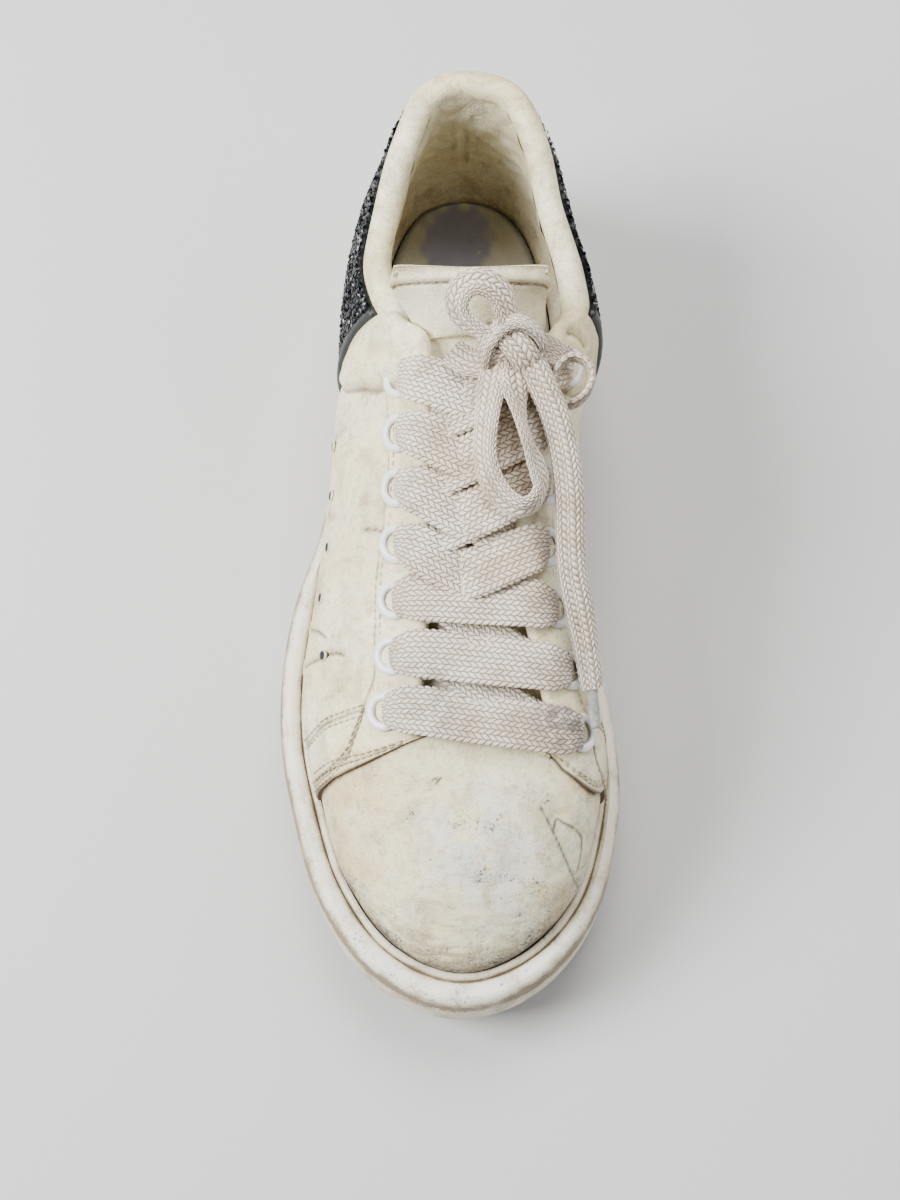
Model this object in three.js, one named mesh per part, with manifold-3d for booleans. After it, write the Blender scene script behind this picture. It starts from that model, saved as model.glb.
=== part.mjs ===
// A worn low-top leather sneaker for the right foot, with a thick cup sole.
// Millimetres, +Z up, toe towards -Y, big-toe side towards +X.
// The upper is drawn as profiles that rise from a closed foot line to one closed top line, which runs
// round the collar and down both sides of the lace throat.  Every other piece is worked out from it.
import * as THREE from 'three';
import { mergeVertices } from 'three/addons/utils/BufferGeometryUtils.js';
import Module from 'manifold-3d';

// ---- driving dimensions -------------------------------------------------------------------------
const gap = 0.35;              // between pieces that touch
const wall = 2.1;              // vamp leather with its lining
const quarterStand = 1.6;      // the quarters' leather, lying on the vamp
const collarPad = 3.3;         // foam that thickens the collar
const cupDepth = 6;            // the rim above the floor of the cup, at the ball
const heelSeat = 4.3;          // how much deeper the cup is at the heel
const insoleThick = 4;
const outsoleThick = 7;
const counterThick = 2;
const counterGap = 0.5;
const rimHeel = 46;            // height of the sole's rim at the heel
const rimBall = 36;            // and at the ball
const toeLift = 9.5;           // toe spring
const archLift = 1.4;          // hollow under the waist
const eyeletRows = 7;
const topEyeletY = { outer: 37, inner: 41.5 };
const eyeletPitchY = { outer: 15.7, inner: 17.4 };
const eyeletInset = 8.3;       // eyelet centre to the throat's edge
const laceWidth = 15;
const laceThick = 2;

const stepsPerStation = 2;
const profileSteps = 8;
const cupPart = 0.1;           // share of a profile that stands inside the cup

// Stations go from the back of the heel along the little-toe side to the toe, and back along the
// big-toe side.  foot is the foot line in plan, top the top line, swell and rise shape the profile's
// start, reach and drop its end, and over is how far the sole stands out.
const stations = [
  { foot: [5, 130.5], top: [5.5, 127.5, 109.5], swell: 4, rise: 22, reach: -3, drop: 22, over: 12.5 },
  { foot: [-11.5, 125.5], top: [-7, 123.8, 108.5], swell: 4, rise: 22, reach: -2, drop: 22, over: 10.5 },
  { foot: [-21.5, 111.5], top: [-13.7, 111.5, 104.5], swell: 4.5, rise: 21, reach: 1, drop: 21, over: 8.5 },
  { foot: [-26.3, 91], top: [-19.2, 94, 97], swell: 5, rise: 20, reach: 2, drop: 17, over: 7.5 },
  { foot: [-27.3, 70], top: [-22.6, 77, 90.5], swell: 6, rise: 19, reach: 4, drop: 13, over: 6.5 },
  { foot: [-28.3, 50], top: [-17.8, 62, 90], swell: 6.5, rise: 20, reach: 9, drop: 13, over: 6.2 },
  { foot: [-31.5, 28], top: [-14, 55, 97], swell: 8, rise: 22, reach: 15, drop: 13, over: 6.2 },
  { foot: [-35.5, 6], top: [-7.2, 44.5, 102], swell: 6.5, rise: 23, reach: 16, drop: 10, over: 7 },
  { foot: [-40, -17], top: [-7, 8, 95.5], swell: 3, rise: 23, reach: 16, drop: 9, over: 10 },
  { foot: [-43.2, -38], top: [-7.4, -21, 86.5], swell: 2, rise: 22, reach: 17, drop: 8, over: 10 },
  { foot: [-43, -58], top: [-8.6, -46, 79.3], swell: 2, rise: 19, reach: 17, drop: 6, over: 10 },
  { foot: [-39, -77.5], top: [-11.5, -63, 74.6], swell: 2, rise: 16, reach: 17, drop: 4.5, over: 10.3 },
  { foot: [-31.5, -101], top: [-4.5, -65, 75.6], swell: 2, rise: 14, reach: 20, drop: 5, over: 10.6 },
  { foot: [-17.5, -120.5], top: [3.5, -66.5, 76], swell: 2, rise: 13, reach: 26, drop: 7, over: 11 },
  { foot: [2.5, -129.5], top: [11, -67.3, 76], swell: 2, rise: 13, reach: 29, drop: 8, over: 11.5 },
  { foot: [22.5, -123.5], top: [18.5, -67.5, 75.6], swell: 2, rise: 13, reach: 26, drop: 7, over: 10.5 },
  { foot: [38, -106.5], top: [26, -67.8, 74.8], swell: 2, rise: 14, reach: 20, drop: 5, over: 9 },
  { foot: [45.3, -80.5], top: [31.5, -67.8, 73.4], swell: 2, rise: 16, reach: 13, drop: 4.5, over: 8 },
  { foot: [45.3, -60], top: [28.5, -51, 78.3], swell: 2, rise: 19, reach: 14, drop: 6, over: 7.8 },
  { foot: [42, -38], top: [22.5, -23, 86.3], swell: 2, rise: 22, reach: 15, drop: 8, over: 7.3 },
  { foot: [37.5, -16], top: [21.3, 7, 95.3], swell: 3, rise: 24, reach: 15, drop: 9, over: 7 },
  { foot: [35.5, 5], top: [29.7, 44.5, 102], swell: 2.5, rise: 24, reach: 12, drop: 11, over: 7 },
  { foot: [35, 27], top: [35.5, 56, 97], swell: 3.5, rise: 22, reach: 9, drop: 13, over: 6.5 },
  { foot: [36, 49], top: [38.7, 62, 90.5], swell: 7.5, rise: 20, reach: 6.5, drop: 13, over: 6.2 },
  { foot: [37, 70], top: [37.2, 77, 90.5], swell: 6, rise: 19, reach: 4, drop: 13, over: 7.5 },
  { foot: [36.3, 91], top: [32, 92.5, 97], swell: 4.5, rise: 20, reach: 2, drop: 17, over: 8 },
  { foot: [31.5, 112], top: [27, 111, 104.5], swell: 4, rise: 21, reach: 1, drop: 21, over: 9 },
  { foot: [20.5, 126], top: [19.3, 123.8, 108.5], swell: 4, rise: 22, reach: -2, drop: 22, over: 10.5 },
];
const facingTop = 7;           // little-toe side; the big-toe side has the same stations counted back
const quarterFront = 11;
const count = stations.length;
const half = count / 2;        // the toe's station

const wasm = await Module();
wasm.setup();
const sneaker = new THREE.Group();

// ---- small helpers ------------------------------------------------------------------------------
const clamp01 = (t) => Math.min(1, Math.max(0, t));
const ease = (low, high, t) => {
  const s = clamp01((t - low) / (high - low));
  return s * s * (3 - 2 * s);
};
const vec = (x, y, z) => new THREE.Vector3(x, y, z);
const mix = (a, b, t) => a.clone().lerp(b, t);

// A closed Catmull-Rom curve through one number of every station.
function between(read, u) {
  const base = Math.floor(u);
  const t = u - base;
  const [a, b, c, d] = [-1, 0, 1, 2].map((k) => read(stations[(((base + k) % count) + count) % count]));
  return 0.5 * (2 * b + (c - a) * t + (2 * a - 5 * b + 4 * c - d) * t * t + (3 * b - a - 3 * c + d) * t ** 3);
}

function material(color, roughness, metalness = 0) {
  return new THREE.MeshStandardMaterial({ color, roughness, metalness });
}

function addMesh(name, geometry, finish, parent = sneaker) {
  const mesh = new THREE.Mesh(geometry, finish);
  mesh.name = name;
  parent.add(mesh);
  return mesh;
}

function geometryOf(points, faces) {
  const geometry = new THREE.BufferGeometry();
  const numbers = points.flatMap((p) => [p.x, p.y, p.z]);
  geometry.setAttribute('position', new THREE.Float32BufferAttribute(numbers, 3));
  geometry.setIndex(faces.flat());
  geometry.computeVertexNormals();
  return geometry;
}

function toSolid(geometry) {
  const bare = geometry.clone();
  bare.deleteAttribute('normal');
  bare.deleteAttribute('uv');
  const merged = mergeVertices(bare, 1e-4);
  return new wasm.Manifold(new wasm.Mesh({
    numProp: 3,
    vertProperties: new Float32Array(merged.attributes.position.array),
    triVerts: new Uint32Array(merged.index.array),
  }));
}

function fromSolid(solid) {
  const mesh = solid.getMesh();
  const geometry = new THREE.BufferGeometry();
  geometry.setAttribute('position', new THREE.BufferAttribute(new Float32Array(mesh.vertProperties), 3));
  geometry.setIndex(new THREE.BufferAttribute(new Uint32Array(mesh.triVerts), 1));
  geometry.computeVertexNormals();
  return geometry;
}

// ---- the last: foot line, top line and the profiles between them ----------------------------------
const footAt = (u) => vec(between((s) => s.foot[0], u), between((s) => s.foot[1], u), 0);
const topAt = (u) => vec(...[0, 1, 2].map((axis) => between((s) => s.top[axis], u)));

// The way out of the shoe, square to the foot line, in plan.
function outward(u) {
  const along = footAt(u + 0.05).sub(footAt(u - 0.05));
  return vec(along.y, -along.x, 0).normalize();
}

function soleBottom(y) {
  const toe = clamp01((-70 - y) / 72);
  const heel = clamp01((y - 126) / 17);
  const arch = ease(-12, 14, y) * (1 - ease(36, 62, y));
  return toeLift * toe ** 1.8 + 2.5 * heel ** 2 + archLift * arch;
}

function rimHeight(y) {
  const toe = clamp01((-82 - y) / 60);
  return rimBall + (rimHeel - rimBall) * ease(-60, 115, y) + 5.5 * toe ** 1.6;
}

const floorHeight = (y) => rimHeight(y) - cupDepth - heelSeat * ease(-40, 60, y);

// A point of the upper's base surface: v is 0 at its foot in the cup and 1 at the top line.
function basePoint(u, v) {
  const foot = footAt(u);
  const rim = rimHeight(foot.y) + gap;
  if (v < cupPart) {
    const low = floorHeight(foot.y) + gap;
    return foot.setZ(low + (rim - low) * (v / cupPart));
  }
  const t = (v - cupPart) / (1 - cupPart);
  const out = outward(u);
  const start = foot.clone().setZ(rim);
  const end = topAt(u);
  const swell = start.clone().addScaledVector(out, between((s) => s.swell, u));
  swell.z += between((s) => s.rise, u);
  const reach = end.clone().addScaledVector(out, between((s) => s.reach, u));
  reach.z -= between((s) => s.drop, u);
  return new THREE.CubicBezierCurve3(start, swell, reach, end).getPoint(t);
}

function baseNormal(u, v) {
  const low = Math.max(cupPart + 0.01, v - 0.02);
  const high = Math.max(low + 0.02, Math.min(1, v + 0.02));
  const at = Math.min(Math.max(v, low), high);
  const across = basePoint(u + 0.06, at).sub(basePoint(u - 0.06, at));
  const up = basePoint(u, high).sub(basePoint(u, low));
  return across.cross(up).normalize();
}

// The quarters lie on the vamp, so the outside steps out behind their front edges.
function standOff(u, v) {
  const fromToe = Math.abs(u - half);
  const quarter = ease(half - quarterFront - 0.02, half - quarterFront + 0.02, fromToe);
  return quarterStand * quarter * ease(cupPart, cupPart + 0.05, v);
}

function padding(u, v) {
  const fromHeel = Math.min(u, count - u);
  const heel = 1 - ease(2, 4.5, fromHeel);
  return collarPad * (1 - ease(5.2, 6.4, fromHeel)) * Math.max(heel, ease(0.5, 0.92, v));
}

const outside = (u, v, extra = 0) => basePoint(u, v)
  .addScaledVector(baseNormal(u, v), standOff(u, v) + extra);
const inside = (u, v, extra = 0) => basePoint(u, v)
  .addScaledVector(baseNormal(u, v), -wall - padding(u, v) - extra);

// Columns of the upper's mesh, with two close together at the front edge of each quarter.
const columns = [];
for (let k = 0; k < count * stepsPerStation; k += 1) columns.push(k / stepsPerStation);
for (const edge of [quarterFront, count - quarterFront]) {
  columns.splice(columns.indexOf(edge), 1, edge - 0.025, edge + 0.025);
}

// Height share of a loop's k-th point: the cup's floor, then in even steps from inside the cup to the top line.
const evenShare = (k) => (k - 1) / (profileSteps - 1);
const profileShare = (k) => (k === 0 ? 0 : cupPart + (1 - cupPart) * evenShare(k));

function upperLoop(u) {
  const loop = [];
  for (let k = 0; k <= profileSteps; k += 1) loop.push(outside(u, profileShare(k)));
  const outer = outside(u, 1);
  const inner = inside(u, 1);
  const centre = mix(outer, inner, 0.5);
  const across = outer.clone().sub(centre);
  const up = basePoint(u, 1).sub(basePoint(u, 0.97)).normalize().multiplyScalar(across.length());
  for (const angle of [45, 90, 135]) {
    const a = THREE.MathUtils.degToRad(angle);
    loop.push(centre.clone().addScaledVector(across, Math.cos(a)).addScaledVector(up, Math.sin(a)));
  }
  for (let k = profileSteps; k >= 0; k -= 1) loop.push(inside(u, profileShare(k)));
  return loop;
}

// Joins equal loops, each closed on itself, into one closed ring.
function ringGeometry(loops) {
  const size = loops[0].length;
  const faces = [];
  for (let i = 0; i < loops.length; i += 1) {
    const next = (i + 1) % loops.length;
    for (let k = 0; k < size; k += 1) {
      const a = i * size + k;
      const b = next * size + k;
      const c = next * size + ((k + 1) % size);
      const d = i * size + ((k + 1) % size);
      faces.push([a, b, c], [a, c, d]);
    }
  }
  return geometryOf(loops.flat(), faces);
}

// ---- eyelets ------------------------------------------------------------------------------------
// v on a profile at a distance from the top line, measured along the leather.
function shareFromTop(u, distance) {
  let v = 1;
  let length = 0;
  while (length < distance) {
    length += outside(u, v).distanceTo(outside(u, v - 0.005));
    v -= 0.005;
  }
  return v;
}

function eyeletSpot(row, side) {
  const y = topEyeletY[side] - row * eyeletPitchY[side];
  let [high, low] = [facingTop - 0.8, quarterFront + 0.5];
  if (side === 'inner') [high, low] = [count - high, count - low];
  for (let k = 0; k < 30; k += 1) {
    const middle = (high + low) / 2;
    if (outside(middle, shareFromTop(middle, eyeletInset)).y > y) high = middle;
    else low = middle;
  }
  const u = (high + low) / 2;
  const v = shareFromTop(u, eyeletInset);
  return { u, v, point: outside(u, v), normal: baseNormal(u, v) };
}

const eyeletOrder = Array.from({ length: eyeletRows }, (_, row) => row);
const eyeletSpots = ['outer', 'inner']
  .flatMap((side) => eyeletOrder.map((row) => ({ side, row, ...eyeletSpot(row, side) })));
const eyeletHole = 3.2;
const barrel = 3.9;
const flange = 5.8;

const upperSolid = eyeletSpots.reduce((solid, spot) => {
  const punch = new THREE.CylinderGeometry(barrel + 1.2 * gap, barrel + 1.2 * gap, 14, 9);
  punch.applyQuaternion(new THREE.Quaternion().setFromUnitVectors(vec(0, 1, 0), spot.normal));
  punch.translate(spot.point.x, spot.point.y, spot.point.z);
  return solid.subtract(toSolid(punch));
}, toSolid(ringGeometry(columns.map(upperLoop))));
addMesh('upper', fromSolid(upperSolid), material(0xded9cb, 0.55));

function eyeletGeometry() {
  const profile = [
    [flange, 0.4], [flange - 1.2, 1.5], [eyeletHole, 0.9], [eyeletHole, -3.3], [barrel, -3.3], [barrel, 0.4],
  ].map(([r, z]) => new THREE.Vector2(r, z));
  return new THREE.LatheGeometry([...profile, profile[0]], 9);
}

for (const spot of eyeletSpots) {
  const name = `eyelet_${spot.side}_${spot.row + 1}`;
  const eyelet = addMesh(name, eyeletGeometry(), material(0xe8eaec, 0.35));
  eyelet.position.copy(spot.point);
  eyelet.quaternion.setFromUnitVectors(vec(0, 1, 0), spot.normal);
}

// ---- sole and insole ----------------------------------------------------------------------------
const soleColumns = Array.from({ length: count * stepsPerStation }, (_, k) => k / stepsPerStation);

// A body made of stacked outlines, each from heel round to heel, closed above and below.
function stackGeometry(rings) {
  const size = rings[0].length;
  const faces = [];
  for (let r = 0; r + 1 < rings.length; r += 1) {
    for (let i = 0; i < size; i += 1) {
      const next = (i + 1) % size;
      const [a, b, c, d] = [r * size + i, r * size + next, (r + 1) * size + next, (r + 1) * size + i];
      faces.push([a, b, c], [a, c, d]);
    }
  }
  const top = (rings.length - 1) * size;
  for (let i = 0; i < size / 2; i += 1) {
    const [left, leftNext, right, rightNext] = [i, i + 1, (size - i) % size, size - i - 1];
    if (i + 1 < size / 2) {
      faces.push([top + left, top + leftNext, top + rightNext]);
      faces.push([left, rightNext, leftNext]);
    }
    if (i > 0) {
      faces.push([top + left, top + rightNext, top + right]);
      faces.push([left, right, rightNext]);
    }
  }
  return geometryOf(rings.flat(), faces);
}

// An outline at a distance outside the foot line, with its height as a function of y.
function outline(distance, height, list = soleColumns) {
  return list.map((u) => {
    const foot = footAt(u);
    const point = foot.clone().addScaledVector(outward(u), distance(u));
    return point.setZ(height(foot.y, point.y));
  });
}

const overhang = (u) => between((s) => s.over, u);
const toeFlare = (u) => 2 * (1 - ease(0.5, 3.2, Math.abs(u - half)));
const soleBase = (foot, y) => soleBottom(y) + outsoleThick;
const midRings = [
  outline((u) => overhang(u) - 1.2 + toeFlare(u), (foot, y) => soleBase(foot, y) + gap),
  outline((u) => overhang(u) - 0.2 + toeFlare(u), (foot, y) => soleBase(foot, y) + 3),
  outline((u) => overhang(u) + toeFlare(u) / 2, (foot, y) => 0.55 * soleBase(foot, y) + 0.45 * rimHeight(foot)),
  outline((u) => overhang(u) - 0.6, (foot) => rimHeight(foot) - 5),
  outline((u) => overhang(u) - 2, (foot) => rimHeight(foot) - 1.7),
  outline((u) => overhang(u) - 3.9, (foot) => rimHeight(foot) - 0.2),
  outline(() => 2.9, (foot) => rimHeight(foot) - 1.9),
  outline(() => 2.2, (foot) => rimHeight(foot) - 0.3),
  outline(() => gap, (foot) => rimHeight(foot)),
  outline(() => gap, (foot) => floorHeight(foot)),
];
addMesh('midsole', stackGeometry(midRings), material(0xdcd7cb, 0.6));

const outsoleBody = toSolid(stackGeometry([
  outline((u) => overhang(u) - 3.4 + toeFlare(u), (foot, y) => soleBottom(y)),
  outline((u) => overhang(u) - 1 + toeFlare(u), (foot, y) => soleBottom(y) + 1.8),
  outline((u) => overhang(u) - 0.5 + toeFlare(u), (foot, y) => soleBase(foot, y)),
]));
// Tread: wide bent lugs parted by shallow grooves, under the forefoot and the heel.
const grooveWidth = 3.2;
const grooveDepth = 2.4;
function treadGroove(y, halfWidth, centre) {
  const bend = 7;
  const edge = [[-halfWidth, 0], [-halfWidth / 3, -bend], [halfWidth / 3, -bend], [halfWidth, 0]];
  const shape = new THREE.Shape([
    ...edge.map(([x, dy]) => new THREE.Vector2(x, dy)),
    ...edge.toReversed().map(([x, dy]) => new THREE.Vector2(x, dy + grooveWidth)),
  ]);
  const groove = new THREE.ExtrudeGeometry(shape, { depth: 5 + grooveDepth, bevelEnabled: false });
  groove.translate(centre, y, soleBottom(y - bend / 2) - 5);
  return toSolid(groove);
}
const treadRows = [];
for (let k = 0; k < 9; k += 1) treadRows.push([-20 - 11 * k, k < 6 ? 36 : 46 - k * 3.4, k < 6 ? 0 : 2]);
for (let k = 0; k < 5; k += 1) treadRows.push([118 - 12 * k, 24, 4.5]);
const outsoleSolid = treadRows.reduce((solid, [y, w, x]) => solid.subtract(treadGroove(y, w, x)), outsoleBody);
addMesh('outsole', fromSolid(outsoleSolid), material(0xd2ccbe, 0.7));

const insoleColumns = Array.from({ length: count * 2 }, (_, k) => k / 2);
const insoleEdge = (u) => -wall - 2 * gap - padding(u, 0);
addMesh('insole', stackGeometry([
  outline(insoleEdge, (foot) => floorHeight(foot) + gap, insoleColumns),
  outline(insoleEdge, (foot) => floorHeight(foot) + gap + insoleThick, insoleColumns),
]), material(0xc9c1ad, 0.6));

// ---- patches of even thickness ------------------------------------------------------------------
// rows[i][k] are pairs of points, one on each face of the patch.
function patchGeometry(upperFace, lowerFace) {
  const rows = upperFace.length;
  const size = upperFace[0].length;
  const shift = rows * size;
  const faces = [];
  const quad = (a, b, c, d) => faces.push([a, b, c], [a, c, d]);
  for (let i = 0; i + 1 < rows; i += 1) {
    for (let k = 0; k + 1 < size; k += 1) {
      const [a, b, c, d] = [i * size + k, (i + 1) * size + k, (i + 1) * size + k + 1, i * size + k + 1];
      quad(a, b, c, d);
      quad(shift + d, shift + c, shift + b, shift + a);
    }
  }
  for (let i = 0; i + 1 < rows; i += 1) {
    const [a, b] = [i * size, (i + 1) * size];
    quad(shift + a, shift + b, b, a);
    quad(a + size - 1, b + size - 1, shift + b + size - 1, shift + a + size - 1);
  }
  for (let k = 0; k + 1 < size; k += 1) {
    const [a, b] = [k, (rows - 1) * size + k];
    quad(a, a + 1, shift + a + 1, shift + a);
    quad(b + 1, b, shift + b, shift + b + 1);
  }
  return geometryOf([...upperFace.flat(), ...lowerFace.flat()], faces);
}

// ---- heel counter -------------------------------------------------------------------------------
const counterEnd = 5;          // station of its front edge
const counterColumns = Array.from({ length: 21 }, (_, k) => -counterEnd + (counterEnd * k) / 10);
const counterRows = Array.from({ length: 8 }, (_, k) => cupPart + 0.02 + (0.93 - cupPart - 0.02) * (k / 7));
const wrap = (u) => (u + count) % count;
const counterFace = (extra) => counterColumns.map((u) => counterRows.map((v) => outside(wrap(u), v, extra)));
const counterShell = patchGeometry(counterFace(counterGap + counterThick), counterFace(counterGap));
addMesh('heel_counter', counterShell, material(0x17181a, 0.5));

// ---- tongue -------------------------------------------------------------------------------------
const tongueThick = 3;
const tongueClear = 0.9;       // under the facings
const across = (points) => new THREE.CatmullRomCurve3(points, false, 'centripetal').getPoints(10);
function tongueRow(share) {
  const u = facingTop + (quarterFront - facingTop) * share;
  const left = [0.74, 0.86, 0.96].map((v) => inside(u, v, tongueClear));
  const right = [0.96, 0.84, 0.7].map((v) => inside(count - u, v, tongueClear));
  const crown = mix(left[2], right[0], 0.5);
  crown.z += 1.6;
  return across([...left, crown, ...right]);
}
// Above the facings it stands up out of the throat: its sides stay inside the collar, its end spreads.
const tongueTip = [
  [
    [-17.5, 62.5, 115], [-15, 62.6, 116.5], [-6, 62.4, 117.6], [6, 62.2, 118],
    [18, 62.4, 117.6], [27, 62.6, 116.5], [29.5, 62.5, 115],
  ],
  [
    [-11.5, 60, 98], [-12.5, 60.5, 106], [-5, 59.3, 113], [6.5, 59, 115],
    [18, 59.3, 113], [25.5, 60.5, 106], [27, 60, 98],
  ],
  [
    [-8, 57, 91], [-8.5, 57, 99], [-4, 55.5, 107.5], [7, 55, 110.5],
    [19, 55.5, 107.5], [25.5, 57, 99], [26.5, 57, 91],
  ],
  [
    [-9.5, 49, 90], [-6.5, 49.3, 95.5], [-2, 48.7, 101], [9, 48.3, 104.5],
    [20.5, 48.7, 101], [27, 49.3, 95.5], [30, 49, 90],
  ],
].map((row) => across(row.map((p) => vec(...p))));
const tongueRows = [...tongueTip, ...[0, 1, 2, 3, 4, 5].map((k) => tongueRow(k / 5))];
tongueRows.push(tongueRow(1).map((p) => p.clone().add(vec(0, -7, -2.6))));
const tongueUnder = tongueRows.map((row, i) => row.map((p, k) => {
  const around = [tongueRows[Math.max(0, i - 1)], tongueRows[Math.min(tongueRows.length - 1, i + 1)]];
  const along = around[1][k].clone().sub(around[0][k]);
  const sideways = row[Math.min(row.length - 1, k + 1)].clone().sub(row[Math.max(0, k - 1)]);
  return p.clone().addScaledVector(along.cross(sideways).normalize(), -tongueThick);
}));
addMesh('tongue', patchGeometry(tongueRows, tongueUnder), material(0xd9d5c6, 0.55));

// ---- lace crossings -----------------------------------------------------------------------------
// A flat band through knots {p, up, w}: place, upper side and width.
function bandGeometry(knots, steps, thick = laceThick) {
  const curve = (points) => new THREE.CatmullRomCurve3(points, false, 'centripetal');
  const path = curve(knots.map((k) => k.p));
  const ups = new THREE.CatmullRomCurve3(knots.map((k) => k.up));
  const widths = new THREE.CatmullRomCurve3(knots.map((k, i) => vec(k.w, i, 0)));
  const loops = [];
  for (let i = 0; i <= steps; i += 1) {
    const t = i / steps;
    const point = path.getPoint(t);
    const side = path.getTangent(t).cross(ups.getPoint(t)).normalize();
    const up = side.clone().cross(path.getTangent(t)).normalize();
    const half = widths.getPoint(t).x / 2;
    const flat = half - 1.2;
    const section = [[half, 0], [flat, 0.5], [-flat, 0.5], [-half, 0], [-flat, -0.5], [flat, -0.5]];
    loops.push(section.map(([s, n]) => point.clone().addScaledVector(side, s).addScaledVector(up, n * thick)));
  }
  const size = 6;
  const faces = [];
  for (let i = 0; i < steps; i += 1) {
    for (let k = 0; k < size; k += 1) {
      const [a, b] = [i * size + k, i * size + ((k + 1) % size)];
      faces.push([a, a + size, b + size], [a, b + size, b]);
    }
  }
  for (let k = 1; k + 1 < size; k += 1) {
    faces.push([0, k, k + 1]);
    faces.push([steps * size, steps * size + k + 1, steps * size + k]);
  }
  return geometryOf(loops.flat(), faces);
}

const laceSeat = 2 + gap + laceThick / 2;
const laceLift = 2.9;          // the lace's middle over the facing
const upZ = vec(0, 0, 1);

// The station on one side of the throat whose edge lies at y.
function throatStation(side, y) {
  let [high, low] = [facingTop - 0.8, quarterFront];
  if (side === 'inner') [high, low] = [count - high, count - low];
  for (let k = 0; k < 30; k += 1) {
    const middle = (high + low) / 2;
    if (outside(middle, 1).y > y) high = middle;
    else low = middle;
  }
  return (high + low) / 2;
}
const seatKnot = (spot) => {
  const p = spot.point.clone().addScaledVector(spot.normal, laceSeat);
  return { p, up: spot.normal, w: 8 };
};
function edgeKnot(spot, drop = 0, w = laceWidth - 1) {
  const u = throatStation(spot.side, spot.point.y - drop);
  return { p: outside(u, 1, laceLift), up: baseNormal(u, 1).lerp(upZ, 0.5), w };
}
// A lace's tail between facing and tongue, inside the throat's edge.
function tailKnot(side, y) {
  const edge = outside(throatStation(side, y), 1);
  const inwards = side === 'outer' ? 1 : -1;
  return { p: edge.add(vec(inwards * 6, 0, 1.7)), up: upZ, w: laceWidth - 5 };
}
const rowOf = (side) => eyeletSpots.filter((spot) => spot.side === side);
const [outerRow, innerRow] = [rowOf('outer'), rowOf('inner')];
const laceSolids = [];
const crossedRows = 4;
for (let row = 0; row < eyeletRows; row += 1) {
  const pair = [outerRow[row], innerRow[row]];
  if (row < crossedRows) {
    pair.forEach((spot, k) => {
      const other = k === 0 ? 'inner' : 'outer';
      const next = (k === 0 ? innerRow : outerRow)[row + 1];
      const edge = edgeKnot(spot, 2);
      const tail = tailKnot(other, next.point.y + 1.5);
      const middle = { p: mix(edge.p, tail.p, 0.5), up: upZ, w: laceWidth };
      middle.p.z += 0.6 + 1.7 * k;
      laceSolids.push(bandGeometry([seatKnot(spot), edge, middle, tail], 6));
    });
  } else {
    const edges = pair.map((spot) => edgeKnot(spot));
    const middle = { p: mix(edges[0].p, edges[1].p, 0.5), up: upZ, w: laceWidth };
    middle.p.z += 1.6;
    laceSolids.push(bandGeometry([seatKnot(pair[0]), edges[0], middle, edges[1], seatKnot(pair[1])], 8));
  }
  if (row >= crossedRows && row + 1 < eyeletRows) {
    const start = tailKnot('outer', outerRow[row].point.y - 2);
    const end = tailKnot('inner', innerRow[row + 1].point.y + 2);
    laceSolids.push(bandGeometry([start, end], 3));
  }
}
const crossings = laceSolids.map(toSolid).reduce((all, one) => all.add(one));
addMesh('lace_crossings', fromSolid(crossings), material(0xcfc6b8, 0.9));

// ---- knot, loops and free end ---------------------------------------------------------------------
// The lace stands on its edge in both loops.  Each route is the middle of the band.
const knotCentre = vec(18, 41, 114.5);
const knotRadii = vec(8.5, 7, 6);
function knotSolid(grow = 0) {
  const ball = new THREE.SphereGeometry(1, 10, 7);
  ball.scale(knotRadii.x + grow, knotRadii.y + grow, knotRadii.z + grow);
  ball.translate(knotCentre.x, knotCentre.y, knotCentre.z);
  return toSolid(ball);
}
const route = (points) => points.map((p) => vec(...p));

// Knots of a band that stands on edge round the axis of its loop.
function loopKnots(points, axis, w) {
  const middle = points.reduce((sum, p) => sum.add(p), vec(0, 0, 0)).divideScalar(points.length);
  return points.map((p) => {
    const out = p.clone().sub(middle);
    return { p, up: out.addScaledVector(axis, -out.dot(axis)).normalize(), w };
  });
}
function addLoop(name, points, axis, w) {
  const band = toSolid(bandGeometry(loopKnots(points, axis, w), 16, 2.4));
  addMesh(name, fromSolid(band.subtract(knotRoom)), material(0xcfc6b8, 0.9));
}

const leads = [
  [[1, 41.5, 107.2], [6, 37.5, 109.2], [11, 36.5, 111], [16, 38.5, 113]],
  [[32, 39.5, 108], [29, 41, 110], [25, 42, 112], [20, 41, 114]],
].map((points) => route(points).map((p) => ({ p, up: upZ, w: 8 })));
const tied = (grow) => leads.reduce((solid, lead) => {
  const knots = lead.map((k) => ({ ...k, w: k.w + 2 * grow }));
  return solid.add(toSolid(bandGeometry(knots, 4, laceThick + 2 * grow)));
}, knotSolid(grow));
const knot = tied(0);
const knotRoom = tied(gap);
addMesh('lace_knot', fromSolid(knot), material(0xcfc6b8, 0.9));

const standingLoop = route([
  [16.5, 43, 118], [16.3, 47.5, 120.5], [14.6, 52, 123.2], [11, 54.4, 125.3], [6.5, 54.6, 126], [3.3, 52.6, 124.6],
  [2.2, 49.4, 121.8], [4, 46.4, 119.4], [8, 44, 117.8], [13, 41.8, 116.8],
]);
addLoop('lace_loop_standing', standingLoop, vec(0, -0.6, 0.8), 9);

const hangingLoop = route([
  [13.6, 37, 113], [11.8, 27, 111.8], [10.6, 18, 109.8], [10.3, 9.5, 108.2], [12, 3, 106.6], [15.6, -2, 105.5],
  [20.3, -4.6, 105], [24, -3, 105], [26, 1.5, 105.4], [25.2, 6.5, 106.8], [22.8, 12, 109], [20.6, 18.5, 110.8],
  [19, 26.5, 112.2], [18.4, 36, 113.4],
]);
addLoop('lace_loop_hanging', hangingLoop, vec(0, -0.25, 0.97), 9);

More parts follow.
